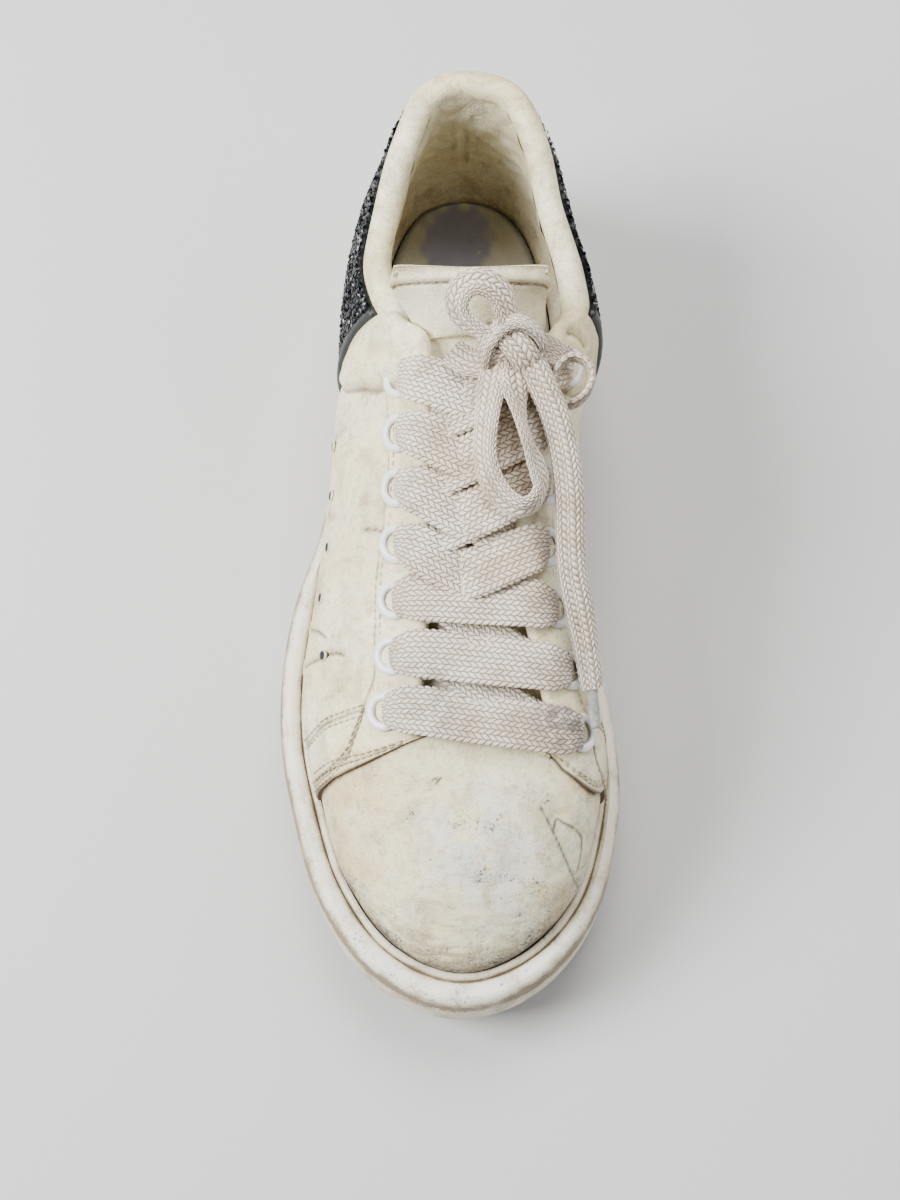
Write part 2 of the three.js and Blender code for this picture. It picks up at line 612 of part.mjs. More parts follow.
const endRoute = route([
  [22.6, 38, 113.4], [26, 31, 111.4], [29.4, 24, 109], [32, 16, 106.2], [33.7, 7, 103.6], [34.6, -2.5, 100.6],
  [34.8, -12, 97.2], [35.6, -21.4, 93.2], [37.7, -30.5, 88.6], [39.9, -41, 83.4], [41.5, -51, 78.9],
]);
const endKnots = endRoute.map((p, i) => ({ p, up: vec(0.35, 0, 0.94), w: i > 8 ? 6.5 : 8.5 }));
const endBand = toSolid(bandGeometry(endKnots, 14, 3));
const hangingRoom = toSolid(bandGeometry(loopKnots(hangingLoop, vec(0, -0.25, 0.97), 9.6), 16, 3.1));
addMesh('lace_end', fromSolid(endBand.subtract(knotRoom).subtract(hangingRoom)), material(0xcfc6b8, 0.9));

// The tip's film, a slim tube in line with the end.
const tipRoute = route([[41.65, -51.9, 78.5], [42.8, -62, 74.4]]);
const tipSection = new THREE.Shape(Array.from({ length: 8 }, (_, k) => {
  const a = (k / 8) * 2 * Math.PI;
  return new THREE.Vector2(1.5 * Math.cos(a), 1.5 * Math.sin(a));
}));
const tipCurve = new THREE.LineCurve3(...tipRoute);
const tip = new THREE.ExtrudeGeometry(tipSection, { steps: 4, extrudePath: tipCurve });
addMesh('lace_tip', tip, material(0x8f8f8c, 0.3));

export default sneaker;
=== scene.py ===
# A worn low-top leather sneaker for the right foot: white leather upper, black glitter heel counter,
# thick cup sole and wide cotton laces tied in a bow.  Sizes are millimetres until a mesh is made.
import math

import bpy
import numpy as np
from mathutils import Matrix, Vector


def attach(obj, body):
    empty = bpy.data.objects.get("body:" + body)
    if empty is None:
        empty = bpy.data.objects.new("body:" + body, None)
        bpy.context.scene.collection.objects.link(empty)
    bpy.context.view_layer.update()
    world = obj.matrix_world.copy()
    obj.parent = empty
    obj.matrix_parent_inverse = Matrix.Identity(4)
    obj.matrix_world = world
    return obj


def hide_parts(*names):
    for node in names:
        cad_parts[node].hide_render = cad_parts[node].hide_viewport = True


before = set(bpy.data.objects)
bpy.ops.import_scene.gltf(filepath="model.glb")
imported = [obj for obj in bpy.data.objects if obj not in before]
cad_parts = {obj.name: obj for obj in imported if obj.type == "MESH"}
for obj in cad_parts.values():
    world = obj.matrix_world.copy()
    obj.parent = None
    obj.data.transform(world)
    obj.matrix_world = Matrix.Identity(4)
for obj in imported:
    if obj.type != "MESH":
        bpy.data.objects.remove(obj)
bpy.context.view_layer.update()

# ---- cup sole -----------------------------------------------------------------------------------
# A thick moulded rubber cup, open at the top for the upper: a rounded outer rim, a groove, and a thin
# lip that is stitched and cemented to the upper.  The rim is scuffed chalky, its outer edge brown.
#
# The whole shoe is built round one last.  Its stations run heel, little toe, toe, big toe: a foot line
# where upper and sole meet, a top line round the collar and the lace throat, and profiles between them.
gap = 0.35
cup_depth = 6
heel_seat = 4.3
rim_heel = 46
rim_ball = 36
toe_lift = 9.5
arch_lift = 1.4
# foot x, y | top line x, y, z | swell, rise, reach, drop | how far the sole stands out
stations = np.array([
    [5, 130.5, 5.5, 127.5, 109.5, 4, 22, -3, 22, 12.5],
    [-11.5, 125.5, -7, 123.8, 108.5, 4, 22, -2, 22, 10.5],
    [-21.5, 111.5, -13.7, 111.5, 104.5, 4.5, 21, 1, 21, 8.5],
    [-26.3, 91, -19.2, 94, 97, 5, 20, 2, 17, 7.5],
    [-27.3, 70, -22.6, 77, 90.5, 6, 19, 4, 13, 6.5],
    [-28.3, 50, -17.8, 62, 90, 6.5, 20, 9, 13, 6.2],
    [-31.5, 28, -14, 55, 97, 8, 22, 15, 13, 6.2],
    [-35.5, 6, -7.2, 44.5, 102, 6.5, 23, 16, 10, 7],
    [-40, -17, -7, 8, 95.5, 3, 23, 16, 9, 10],
    [-43.2, -38, -7.4, -21, 86.5, 2, 22, 17, 8, 10],
    [-43, -58, -8.6, -46, 79.3, 2, 19, 17, 6, 10],
    [-39, -77.5, -11.5, -63, 74.6, 2, 16, 17, 4.5, 10.3],
    [-31.5, -101, -4.5, -65, 75.6, 2, 14, 20, 5, 10.6],
    [-17.5, -120.5, 3.5, -66.5, 76, 2, 13, 26, 7, 11],
    [2.5, -129.5, 11, -67.3, 76, 2, 13, 29, 8, 11.5],
    [22.5, -123.5, 18.5, -67.5, 75.6, 2, 13, 26, 7, 10.5],
    [38, -106.5, 26, -67.8, 74.8, 2, 14, 20, 5, 9],
    [45.3, -80.5, 31.5, -67.8, 73.4, 2, 16, 13, 4.5, 8],
    [45.3, -60, 28.5, -51, 78.3, 2, 19, 14, 6, 7.8],
    [42, -38, 22.5, -23, 86.3, 2, 22, 15, 8, 7.3],
    [37.5, -16, 21.3, 7, 95.3, 3, 24, 15, 9, 7],
    [35.5, 5, 29.7, 44.5, 102, 2.5, 24, 12, 11, 7],
    [35, 27, 35.5, 56, 97, 3.5, 22, 9, 13, 6.5],
    [36, 49, 38.7, 62, 90.5, 7.5, 20, 6.5, 13, 6.2],
    [37, 70, 37.2, 77, 90.5, 6, 19, 4, 13, 7.5],
    [36.3, 91, 32, 92.5, 97, 4.5, 20, 2, 17, 8],
    [31.5, 112, 27, 111, 104.5, 4, 21, 1, 21, 9],
    [20.5, 126, 19.3, 123.8, 108.5, 4, 22, -2, 22, 10.5],
], float)
count = len(stations)
toe = count // 2


def ease(low, high, value):
    share = np.clip((value - low) / (high - low), 0, 1)
    return share * share * (3 - 2 * share)


def between(columns, u):
    base = np.floor(u).astype(int)
    t = (u - base)[..., None]
    a, b, c, d = (stations[(base + k) % count][..., columns] for k in (-1, 0, 1, 2))
    return 0.5 * (2 * b + (c - a) * t + (2 * a - 5 * b + 4 * c - d) * t**2 + (3 * b - a - 3 * c + d) * t**3)


def unit(vectors):
    return vectors / np.linalg.norm(vectors, axis=-1, keepdims=True)


def foot_line(u):
    return between(slice(0, 2), np.asarray(u, float))


def outward(u):
    along = foot_line(np.asarray(u) + 0.05) - foot_line(np.asarray(u) - 0.05)
    return unit(np.stack([along[..., 1], -along[..., 0]], -1))


def sole_bottom(y):
    front = np.clip((-70 - y) / 72, 0, 1)
    heel = np.clip((y - 126) / 17, 0, 1)
    arch = ease(-12, 14, y) * (1 - ease(36, 62, y))
    return toe_lift * front**1.8 + 2.5 * heel**2 + arch_lift * arch


def rim_height(y):
    front = np.clip((-82 - y) / 60, 0, 1)
    return rim_ball + (rim_heel - rim_ball) * ease(-60, 115, y) + 5.5 * front**1.6


def floor_height(y):
    return rim_height(y) - cup_depth - heel_seat * ease(-40, 60, y)


sole_columns = 460
sole_u = np.arange(sole_columns) / sole_columns * count
sole_foot = foot_line(sole_u)
sole_out = outward(sole_u)
overhang = between(slice(9, 10), sole_u)[..., 0]
toe_flare = 2 * (1 - ease(0.5, 3.2, abs(sole_u - toe)))


def sole_ring(distance, height):
    """An outline at a distance outside the foot line; height reads the foot line's y and its own."""
    distance = np.broadcast_to(distance, sole_u.shape)
    place = sole_foot + sole_out * distance[:, None]
    return np.concatenate([place, height(sole_foot[:, 1], place[:, 1])[:, None]], -1)


def sole_base(y):
    return sole_bottom(y) + 7


def over(offset):
    return overhang + offset


cup_rings = [
    sole_ring(over(-9) + toe_flare, lambda foot, y: sole_base(y) + gap),
    sole_ring(over(-1.6) + toe_flare, lambda foot, y: sole_base(y) + gap),
    sole_ring(over(-1.0) + toe_flare, lambda foot, y: sole_base(y) + gap + 0.5),
    sole_ring(over(-0.6) + toe_flare, lambda foot, y: sole_base(y) + 1.4),
    sole_ring(over(-0.2) + toe_flare, lambda foot, y: sole_base(y) + 3),
    sole_ring(over(0.1) + 0.8 * toe_flare, lambda foot, y: 0.8 * sole_base(y) + 0.2 * rim_height(foot) + 1),
    sole_ring(over(0.1) + toe_flare / 2, lambda foot, y: 0.55 * sole_base(y) + 0.45 * rim_height(foot)),
    sole_ring(over(0) + 0.2 * toe_flare,
              lambda foot, y: 0.25 * sole_base(y) + 0.75 * rim_height(foot) - 1.2),
]
# Over the rim, down the groove and up the lip: how far out, and how high against the rim.
for distance, rise in (
        (over(-0.35), -5.2), (over(-0.75), -3.4), (over(-1.5), -1.8), (over(-2.5), -0.7),
        (over(-3.7), -0.15), (over(-4.9) * 0.5 + 0.5 * (overhang * 0.62), -0.1),
        (4.1, -0.5), (3.3, -1.4), (2.95, -2.5), (2.6, -1.4), (2.2, -0.3), (1.5, 0.15), (0.8, 0.05),
        (gap, -0.6)):
    cup_rings.append(sole_ring(distance, lambda foot, y: rim_height(foot) + rise))
cup_rings.append(sole_ring(gap, lambda foot, y: floor_height(foot)))


def finer(rings, times):
    """Catmull-Rom points between the rings of a stack."""
    rings = np.asarray(rings)
    padded = np.concatenate([rings[:1], rings, rings[-1:]])
    made = []
    for i in range(len(rings) - 1):
        a, b, c, d = padded[i:i + 4]
        for step in range(times):
            t = step / times
            made.append(0.5 * (2 * b + (c - a) * t + (2 * a - 5 * b + 4 * c - d) * t**2
                               + (3 * b - a - 3 * c + d) * t**3))
    made.append(rings[-1])
    return np.array(made)


def grid_faces(rows, columns, round_rows=False, round_columns=False, first=0):
    i = np.arange(rows if round_rows else rows - 1)[:, None]
    k = np.arange(columns if round_columns else columns - 1)[None, :]
    i_next = (i + 1) % rows
    k_next = (k + 1) % columns
    corners = [i * columns + k, i_next * columns + k, i_next * columns + k_next, i * columns + k_next]
    return first + np.stack(np.broadcast_arrays(*corners), -1).reshape(-1, 4)


cup_points = finer(cup_rings, 3)
cup_rows = len(cup_points)
cup_faces = grid_faces(cup_rows, sole_columns, round_columns=True)[:, ::-1]
ring_place = np.linspace(0, len(cup_rings) - 1, cup_rows)[:, None] + np.zeros(sole_columns)
cup_y = cup_points[..., 1]
# Worn edge: brown along the shoulder of the rim, most at the toe and the little-toe side.
shoulder = np.exp(-((ring_place - 8.5) / 1.5)**2)
side_wear = 0.55 + 0.45 * np.sin(sole_u * 1.9 + 1) * np.sin(sole_u * 0.7)
little_toe_side = ease(4, 8, sole_u) * (1 - ease(14.5, 18, sole_u))
cup_brown = shoulder * (0.5 + 0.4 * side_wear * little_toe_side + 0.45 * little_toe_side)
cup_groove = np.exp(-((ring_place - 16) / 1.0)**2) + 0.7 * np.exp(-((ring_place - 21.2) / 0.7)**2)
cup_low = (1 - ease(2.5, 6.0, ring_place)) * (0.35 + 0.3 * ease(-60, -130, cup_y))
cup_dirt = np.clip(0.22 + 0.85 * cup_groove + 0.7 * cup_brown + cup_low, 0, 1)
cup_chalk = np.exp(-((ring_place - 12.6) / 1.8)**2) * (0.5 + 0.5 * ease(-40, -110, cup_y))
cup_rub = 0.3 + 0.7 * np.exp(-((ring_place - 12) / 2.2)**2) * ease(-85, -120, cup_y)


def node(tree, kind, inputs=None, **settings):
    made = tree.nodes.new(kind)
    for name, value in settings.items():
        setattr(made, name, value)
    for key, value in (inputs or {}).items():
        if isinstance(value, bpy.types.NodeSocket):
            tree.links.new(value, made.inputs[key])
        else:
            made.inputs[key].default_value = value
    return made


def maths(tree, operation, *values, clamp=False):
    made = node(tree, "ShaderNodeMath", dict(enumerate(values)), operation=operation, use_clamp=clamp)
    return made.outputs[0]


def times(tree, value, factor):
    return maths(tree, "MULTIPLY", value, factor)


def plus(tree, value, more, clamp=False):
    return maths(tree, "ADD", value, more, clamp=clamp)


def noise(tree, place, scale, detail=3.0, roughness=0.5, distortion=0.0):
    inputs = {"Vector": place, "Scale": scale, "Detail": detail, "Roughness": roughness,
              "Distortion": distortion}
    return node(tree, "ShaderNodeTexNoise", inputs).outputs["Fac"]


def ramp(tree, value, low, high, to_low=0.0, to_high=1.0):
    inputs = {"Value": value, "From Min": low, "From Max": high, "To Min": to_low, "To Max": to_high}
    return node(tree, "ShaderNodeMapRange", inputs, interpolation_type="SMOOTHSTEP").outputs[0]


def tint(tree, share, under, over, mode="MIX"):
    made = node(tree, "ShaderNodeMix", {0: share, 6: under, 7: over}, data_type="RGBA", blend_type=mode)
    return made.outputs[2]


def place_in_mm(tree, stretch=(1000, 1000, 1000)):
    where = node(tree, "ShaderNodeTexCoord").outputs["Object"]
    return node(tree, "ShaderNodeVectorMath", {0: where, 1: stretch}, operation="MULTIPLY").outputs[0]


def mask(tree, name):
    return node(tree, "ShaderNodeAttribute", attribute_name=name).outputs["Fac"]


def bump(tree, height, distance, strength=1.0, under=None):
    inputs = {"Height": height, "Distance": distance / 1000, "Strength": strength}
    if under is not None:
        inputs["Normal"] = under
    return node(tree, "ShaderNodeBump", inputs).outputs[0]


def start_material(name, roughness=0.5):
    material = bpy.data.materials.new(name)
    material.use_nodes = True
    shader = material.node_tree.nodes["Principled BSDF"]
    shader.inputs["Roughness"].default_value = roughness
    return material, material.node_tree, shader


def start_group(name, inputs, outputs):
    group = bpy.data.node_groups.new(name, "ShaderNodeTree")
    for label, kind in inputs:
        group.interface.new_socket(label, in_out="INPUT", socket_type=kind)
    for label, kind in outputs:
        group.interface.new_socket(label, in_out="OUTPUT", socket_type=kind)
    return group, group.nodes.new("NodeGroupInput"), group.nodes.new("NodeGroupOutput")


def put_group(tree, group, **inputs):
    return node(tree, "ShaderNodeGroup", inputs, node_tree=group).outputs[0]


def link(tree, output, shader, socket):
    """Join a node's output to one of the shader's sockets."""
    tree.links.new(output, shader.inputs[socket])


FLOAT = "NodeSocketFloat"
VECTOR = "NodeSocketVector"

# Settled dirt, and painted shade where a mask carries it: patchy where the mask is faint, solid where it is
# strong.
patchy_dirt_and_shade, dirt_in, dirt_out = start_group(
    "patchy_dirt_and_shade", [("Place", VECTOR), ("Amount", FLOAT), ("Patch", FLOAT)], [("Dirt_and_shade", FLOAT)])
dirt_patches = noise(patchy_dirt_and_shade, dirt_in.outputs["Place"], 0.11, 5.0, 0.62)
dirt_specks = noise(patchy_dirt_and_shade, dirt_in.outputs["Place"], 1.1, 4.0, 0.7)
dirt_sum = plus(patchy_dirt_and_shade, times(patchy_dirt_and_shade, dirt_patches, 0.62),
                times(patchy_dirt_and_shade, dirt_specks, 0.38))
dirt_spread = times(patchy_dirt_and_shade, maths(patchy_dirt_and_shade, "SUBTRACT", dirt_sum, 0.5), dirt_in.outputs["Patch"])
dirt_level = plus(patchy_dirt_and_shade, dirt_in.outputs["Amount"], dirt_spread)
patchy_dirt_and_shade.links.new(ramp(patchy_dirt_and_shade, dirt_level, 0.18, 0.95), dirt_out.inputs["Dirt_and_shade"])

# Small dark specks, denser where the mask is higher.
specks, specks_in, specks_out = start_group(
    "specks", [("Place", VECTOR), ("Scale", FLOAT), ("Amount", FLOAT)], [("Specks", FLOAT)])
speck_fine = noise(specks, specks_in.outputs["Place"], specks_in.outputs["Scale"], 6.0, 0.78)
speck_cluster = noise(specks, specks_in.outputs["Place"], 0.13, 3.0)
speck_cluster = times(specks, maths(specks, "SUBTRACT", speck_cluster, 0.5), 0.4)
speck_level = plus(specks, plus(specks, speck_fine, speck_cluster),
                   times(specks, specks_in.outputs["Amount"], 0.24))
specks.links.new(ramp(specks, speck_level, 0.7, 0.755), specks_out.inputs["Specks"])

rubber, tree, shader = start_material("sole_rubber", 0.55)
spot = place_in_mm(tree)
streak_place = place_in_mm(tree, (160, 160, 1300))
rubber_tone = tint(tree, noise(tree, spot, 0.035, 4.0), (0.74, 0.655, 0.48, 1), (0.86, 0.81, 0.66, 1))
rubber_tone = tint(tree, ramp(tree, noise(tree, streak_place, 0.5, 5.0, 0.65), 0.5, 0.7, 0, 0.65),
                   rubber_tone, (0.45, 0.36, 0.21, 1))
chalk_share = times(tree, mask(tree, "chalk"), ramp(tree, noise(tree, spot, 0.16, 5.0, 0.65), 0.36, 0.62))
rubber_tone = tint(tree, times(tree, chalk_share, 0.8), rubber_tone, (0.80, 0.81, 0.79, 1))
rubber_dirt = put_group(tree, patchy_dirt_and_shade, Place=spot, Amount=mask(tree, "dirt"), Patch=2.8)
rubber_tone = tint(tree, times(tree, rubber_dirt, 0.9), rubber_tone, (0.20, 0.14, 0.075, 1))
rubbed_specks = times(tree, mask(tree, "rub"), 0.5)
rubber_specks = put_group(tree, specks, Place=spot, Scale=1.1, Amount=rubbed_specks)
rubber_tone = tint(tree, times(tree, rubber_specks, 0.85), rubber_tone, (0.03, 0.03, 0.028, 1))
link(tree, rubber_tone, shader, "Base Color")
link(tree, ramp(tree, noise(tree, spot, 0.25, 4.0), 0.3, 0.7, 0.48, 0.72), shader, "Roughness")
rubber_height = plus(tree, noise(tree, spot, 0.7, 5.0, 0.65),
                     times(tree, noise(tree, spot, 0.12, 3.0), 1.5))
link(tree, bump(tree, rubber_height, 0.35, 0.5), shader, "Normal")


def make_piece(name, points, faces, material, slot, masks=None, uv=None, smooth=True):
    """A mesh from points in millimetres, with its material and the masks it is painted by; the slot
    argument is not used.
    """
    points = np.asarray(points, float).reshape(-1, 3)
    mesh = bpy.data.meshes.new(name)
    mesh.from_pydata((points / 1000).tolist(), [], faces.tolist() if hasattr(faces, "tolist") else faces)
    mesh.polygons.foreach_set("use_smooth", np.full(len(mesh.polygons), smooth))
    for label, values in (masks or {}).items():
        values = np.asarray(values, np.float32).reshape(-1)
        mesh.attributes.new(label, "FLOAT", "POINT").data.foreach_set("value", values)
    if uv is not None:
        corners = np.empty(len(mesh.loops), np.int32)
        mesh.loops.foreach_get("vertex_index", corners)
        layer = mesh.uv_layers.new(name="along")
        layer.data.foreach_set("uv", np.asarray(uv, np.float32).reshape(-1, 2)[corners].ravel())
    mesh.materials.append(material)
    mesh.update()
    piece = bpy.data.objects.new(name, mesh)
    bpy.context.scene.collection.objects.link(piece)
    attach(piece, "root")
    return piece


cup_sole = make_piece("cup_sole", cup_points, cup_faces, rubber, "sole_rubber",
                      {"dirt": cup_dirt, "chalk": cup_chalk, "rub": cup_rub})
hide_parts("midsole")

# ---- outsole ------------------------------------------------------------------------------------
# The wearing layer under the cup: a rolled edge and bent lugs parted by shallow grooves, darker and
# dirtier than the cup, cemented to it along a fine parting line.
tread_rings = [
    sole_ring(over(-0.9) + toe_flare, lambda foot, y: sole_base(y)),
    sole_ring(over(-0.5) + toe_flare, lambda foot, y: sole_base(y) - 0.5),
    sole_ring(over(-0.55) + toe_flare, lambda foot, y: sole_bottom(y) + 4.4),
    sole_ring(over(-1.0) + toe_flare, lambda foot, y: sole_bottom(y) + 1.8),
    sole_ring(over(-2.1) + toe_flare, lambda foot, y: sole_bottom(y) + 0.5),
    sole_ring(over(-3.4) + toe_flare, lambda foot, y: sole_bottom(y)),
]
band = finer(tread_rings, 3)
tread_edge = band[-1]
lines_across = 70
pair_left = np.arange(0, sole_columns // 2 + 1)
pair_right = (sole_columns - pair_left) % sole_columns
share = np.linspace(0, 1, lines_across)[None, :, None]
tread_flat = tread_edge[pair_left][:, None] * (1 - share) + tread_edge[pair_right][:, None] * share


def groove_depth(points):
    """Bent grooves under the forefoot and the heel, as deep as the lugs are high."""
    x, y = points[..., 0], points[..., 1]
    depth = np.zeros(x.shape)
    rows = [(-20 - 11 * k, 36 if k < 6 else 46 - 3.4 * k, 0 if k < 6 else 2) for k in range(9)]
    rows += [(118 - 12 * k, 24, 4.5) for k in range(5)]
    for row_y, half_width, centre in rows:
        beside = abs(x - centre)
        middle = row_y + 1.6 - 7 * (1 - np.clip((beside - half_width / 3) / (half_width * 2 / 3), 0, 1))
        cut = (1 - ease(1.2, 2.0, abs(y - middle))) * (1 - ease(half_width - 1, half_width + 0.5, beside))
        depth = np.maximum(depth, cut)
    return 2.4 * depth


inner_part = ease(0, 0.04, share[..., 0]) * ease(0, 0.04, 1 - share[..., 0])
tread_flat[..., 2] = sole_bottom(tread_flat[..., 1]) + groove_depth(tread_flat) * inner_part
tread_points = np.concatenate([band.reshape(-1, 3), tread_flat.reshape(-1, 3)])
tread_faces = np.concatenate([
    grid_faces(len(band), sole_columns, round_columns=True),
    grid_faces(len(pair_left), lines_across, first=band.shape[0] * sole_columns)[:, ::-1],
])
tread_dirt = np.concatenate([np.repeat(np.linspace(0.55, 0.35, len(band)), sole_columns),
                             (0.35 + 0.25 * groove_depth(tread_flat) / 2.4).ravel()])
tread, tree, shader = start_material("tread_rubber", 0.65)
spot = place_in_mm(tree)
tread_tone = tint(tree, noise(tree, spot, 0.05, 4.0), (0.50, 0.455, 0.37, 1), (0.62, 0.58, 0.49, 1))
tread_mud = put_group(tree, patchy_dirt_and_shade, Place=spot, Amount=mask(tree, "dirt"), Patch=1.6)
tread_tone = tint(tree, times(tree, tread_mud, 0.8), tread_tone, (0.16, 0.115, 0.075, 1))
link(tree, tread_tone, shader, "Base Color")
tread_cells = node(tree, "ShaderNodeTexVoronoi",
                   {"Vector": spot, "Scale": 0.42, "Randomness": 0.0}).outputs["Distance"]
tread_height = plus(tree, times(tree, tread_cells, 0.8), noise(tree, spot, 0.8, 4.0))
link(tree, bump(tree, tread_height, 0.3, 0.6), shader, "Normal")
outsole = make_piece("outsole_tread", tread_points, tread_faces, tread, "tread_rubber",
                     {"dirt": tread_dirt})
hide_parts("outsole")

# ---- vamp and quarters --------------------------------------------------------------------------
# Three panels of smooth white leather over the last.  The vamp covers the toes and runs in under the
# two quarters, whose raw front edges lie on it, 1.6 mm thick, and are stitched down.
wall = 2.1
quarter_stand = 1.6
collar_pad = 3.3
cup_part = 0.1  # share of a profile that stands inside the cup


def base_point(u, v):
    u, v = np.broadcast_arrays(np.asarray(u, float), np.asarray(v, float))
    row = between(slice(0, 10), u)
    foot = row[..., :2]
    out = np.concatenate([outward(u), np.zeros(u.shape + (1,))], -1)
    rim = rim_height(foot[..., 1]) + gap
    low = floor_height(foot[..., 1]) + gap
    start = np.concatenate([foot, rim[..., None]], -1)
    end = row[..., 2:5]
    up = np.array([0, 0, 1.0])
    swell = start + out * row[..., 5:6] + up * row[..., 6:7]
    reach = end + out * row[..., 7:8] - up * row[..., 8:9]
    t = np.clip((v - cup_part) / (1 - cup_part), 0, None)[..., None]
    curve = (1 - t)**3 * start + 3 * (1 - t)**2 * t * swell + 3 * (1 - t) * t * t * reach + t**3 * end
    cup = np.concatenate([foot, (low + (rim - low) * (v / cup_part))[..., None]], -1)
    return np.where((v < cup_part)[..., None], cup, curve)


def base_normal(u, v):
    u, v = np.broadcast_arrays(np.asarray(u, float), np.asarray(v, float))
    low = np.maximum(cup_part + 0.01, v - 0.02)
    high = np.maximum(low + 0.02, np.minimum(1, v + 0.02))
    at = np.minimum(np.maximum(v, low), high)
    across = base_point(u + 0.06, at) - base_point(u - 0.06, at)
    return unit(np.cross(across, base_point(u, high) - base_point(u, low)))


def padding(u, v):
    from_heel = np.minimum(u % count, count - u % count)
    heel = 1 - ease(2, 4.5, from_heel)
    return collar_pad * (1 - ease(5.2, 6.4, from_heel)) * np.maximum(heel, ease(0.5, 0.92, v))


# The quarters' front edges, as stations at each share of the profile's height.
edge_share = [0, 0.31, 0.505, 0.632, 0.747, 0.868, 0.975, 1]
outer_edge = [10.98, 10.99, 11.05, 11.16, 11.3, 11.46, 11.56, 11.6]
inner_edge_share = [0, 0.46, 0.62, 0.777, 0.86, 0.927, 1]
inner_edge = [17.12, 17.0, 16.62, 16.21, 16.0, 16.0, 16.05]


def past_edge(u, v):
    """Stations behind the quarters' front edge, negative on the vamp."""
    outer = np.interp(v, edge_share, outer_edge) - u
    inner = u - np.interp(v, inner_edge_share, inner_edge)
    return np.where(u < toe, outer, inner)


def stand_off(u, v):
    return quarter_stand * ease(-0.02, 0.02, past_edge(u, v)) * ease(cup_part, cup_part + 0.05, v)


def outside(u, v, extra=0.0):
    return base_point(u, v) + base_normal(u, v) * (stand_off(u, v) + extra)[..., None]


def inside(u, v, extra=0.0):
    return base_point(u, v) - base_normal(u, v) * (wall + padding(u, v) + extra)[..., None]


facing_u = [7.12, 7.7, 8.08, 8.43, 8.84, 9.4, 9.9, 10.16, 10.3]
facing_v = [0.805, 0.823, 0.81, 0.8, 0.772, 0.777, 0.785, 0.75, 0.74]
facing_seam = list(zip(facing_u, facing_v))
hooked_seam = [(10.3, 0.74), (10.23, 0.598), (10.18, 0.47), (10.21, 0.365), (10.2, 0.22), (10.18, 0.13)]
toe_seam = [
    (10.31, 0.735), (10.61, 0.693), (10.84, 0.645), (10.93, 0.52),
    (10.9, 0.36), (10.86, 0.2), (10.85, 0.12),
]
ear_outline = [
    (5.42, 1.04), (5.2, 0.84), (4.82, 0.66), (4.73, 0.575), (5.05, 0.485),
    (5.9, 0.56), (6.76, 0.685), (7.14, 0.805), (7.16, 1.04),
]


def mirrored(line):
    return [(count - u, v) for u, v in line]


def smooth_line(line, times=12):
    points = np.asarray(line, float)
    if len(points) == 2:
        return points[0] + (points[1] - points[0]) * np.linspace(0, 1, 2 * times)[:, None]
    return finer(points, times)


def run_along(points):
    """Length from the first point of a path to each of its points."""
    return np.concatenate([[0], np.cumsum(np.linalg.norm(np.diff(points, axis=0), axis=1))])


def on_leather(line, stand):
    """The line's points in millimetres, at a height over the last."""
    line = smooth_line(line)
    return base_point(line[:, 0], line[:, 1]) + base_normal(line[:, 0], line[:, 1]) * stand


def distance_to(points, line, reach=8):
    """Millimetres from every point to a line, 99 where it is far."""
    flat = points.reshape(-1, 3)
    found = np.full(len(flat), 99.0)
    close = np.all((flat > line.min(0) - reach) & (flat < line.max(0) + reach), axis=1)
    near = np.flatnonzero(close)
    for part in np.array_split(near, max(1, len(near) // 4000)):
        if len(part):
            gaps = np.linalg.norm(flat[part][:, None] - line[None], axis=2)
            found[part] = gaps.min(1)
    return found.reshape(points.shape[:-1])


def inside_outline(u, v, outline):
    """Signed distance in millimetres to an outline in stations and shares, positive inside."""
    scale = np.array([16.0, 62.0])
    corners = smooth_line(outline + outline[:1], 6) * scale
    spot = np.stack([u, v], -1) * scale
    near = np.full(u.shape, 1e9)
    odd = np.zeros(u.shape, bool)
    for a, b in zip(corners[:-1], corners[1:]):
        side = b - a
        t = np.clip(((spot - a) @ side) / max(side @ side, 1e-9), 0, 1)[..., None]
        near = np.minimum(near, np.linalg.norm(spot - a - t * side, axis=-1))
        crosses = (a[1] > spot[..., 1]) != (b[1] > spot[..., 1])
        with np.errstate(divide="ignore", invalid="ignore"):
            at = a[0] + (spot[..., 1] - a[1]) * side[0] / side[1]
        odd ^= crosses & (spot[..., 0] < at)
    return np.where(odd, near, -near)


# Creases: line, depth, half width.  A trough with a low ridge on both sides.
creases = [
    ([(9.0, 0.2), (9.1, 0.3), (9.2, 0.4), (9.24, 0.46), (9.33, 0.54), (9.45, 0.6)], 0.75, 0.8),
    ([(8.5, 0.25), (8.62, 0.3), (8.7, 0.33), (8.84, 0.4), (9.0, 0.45)], 0.4, 0.7),
    ([(9.79, 0.4), (9.83, 0.5), (9.86, 0.56), (9.86, 0.62)], 0.3, 0.7),
    ([(8.24, 0.68), (8.3, 0.74), (8.38, 0.79)], 0.3, 0.45),
    ([(7.2, 0.34), (7.5, 0.42), (7.8, 0.55)], 0.25, 2.6),
    ([(5.9, 0.3), (6.4, 0.42), (6.8, 0.54)], 0.3, 3.0),
    ([(18.95, 0.22), (18.88, 0.3), (18.85, 0.4), (18.7, 0.52)], 0.5, 0.8),
    ([(19.4, 0.25), (19.3, 0.36), (19.2, 0.44)], 0.3, 0.8),
    ([(20.7, 0.34), (20.5, 0.45), (20.2, 0.58)], 0.25, 2.6),
    ([(21.6, 0.83), (21.45, 0.9), (21.3, 0.97)], 0.8, 1.3),
]
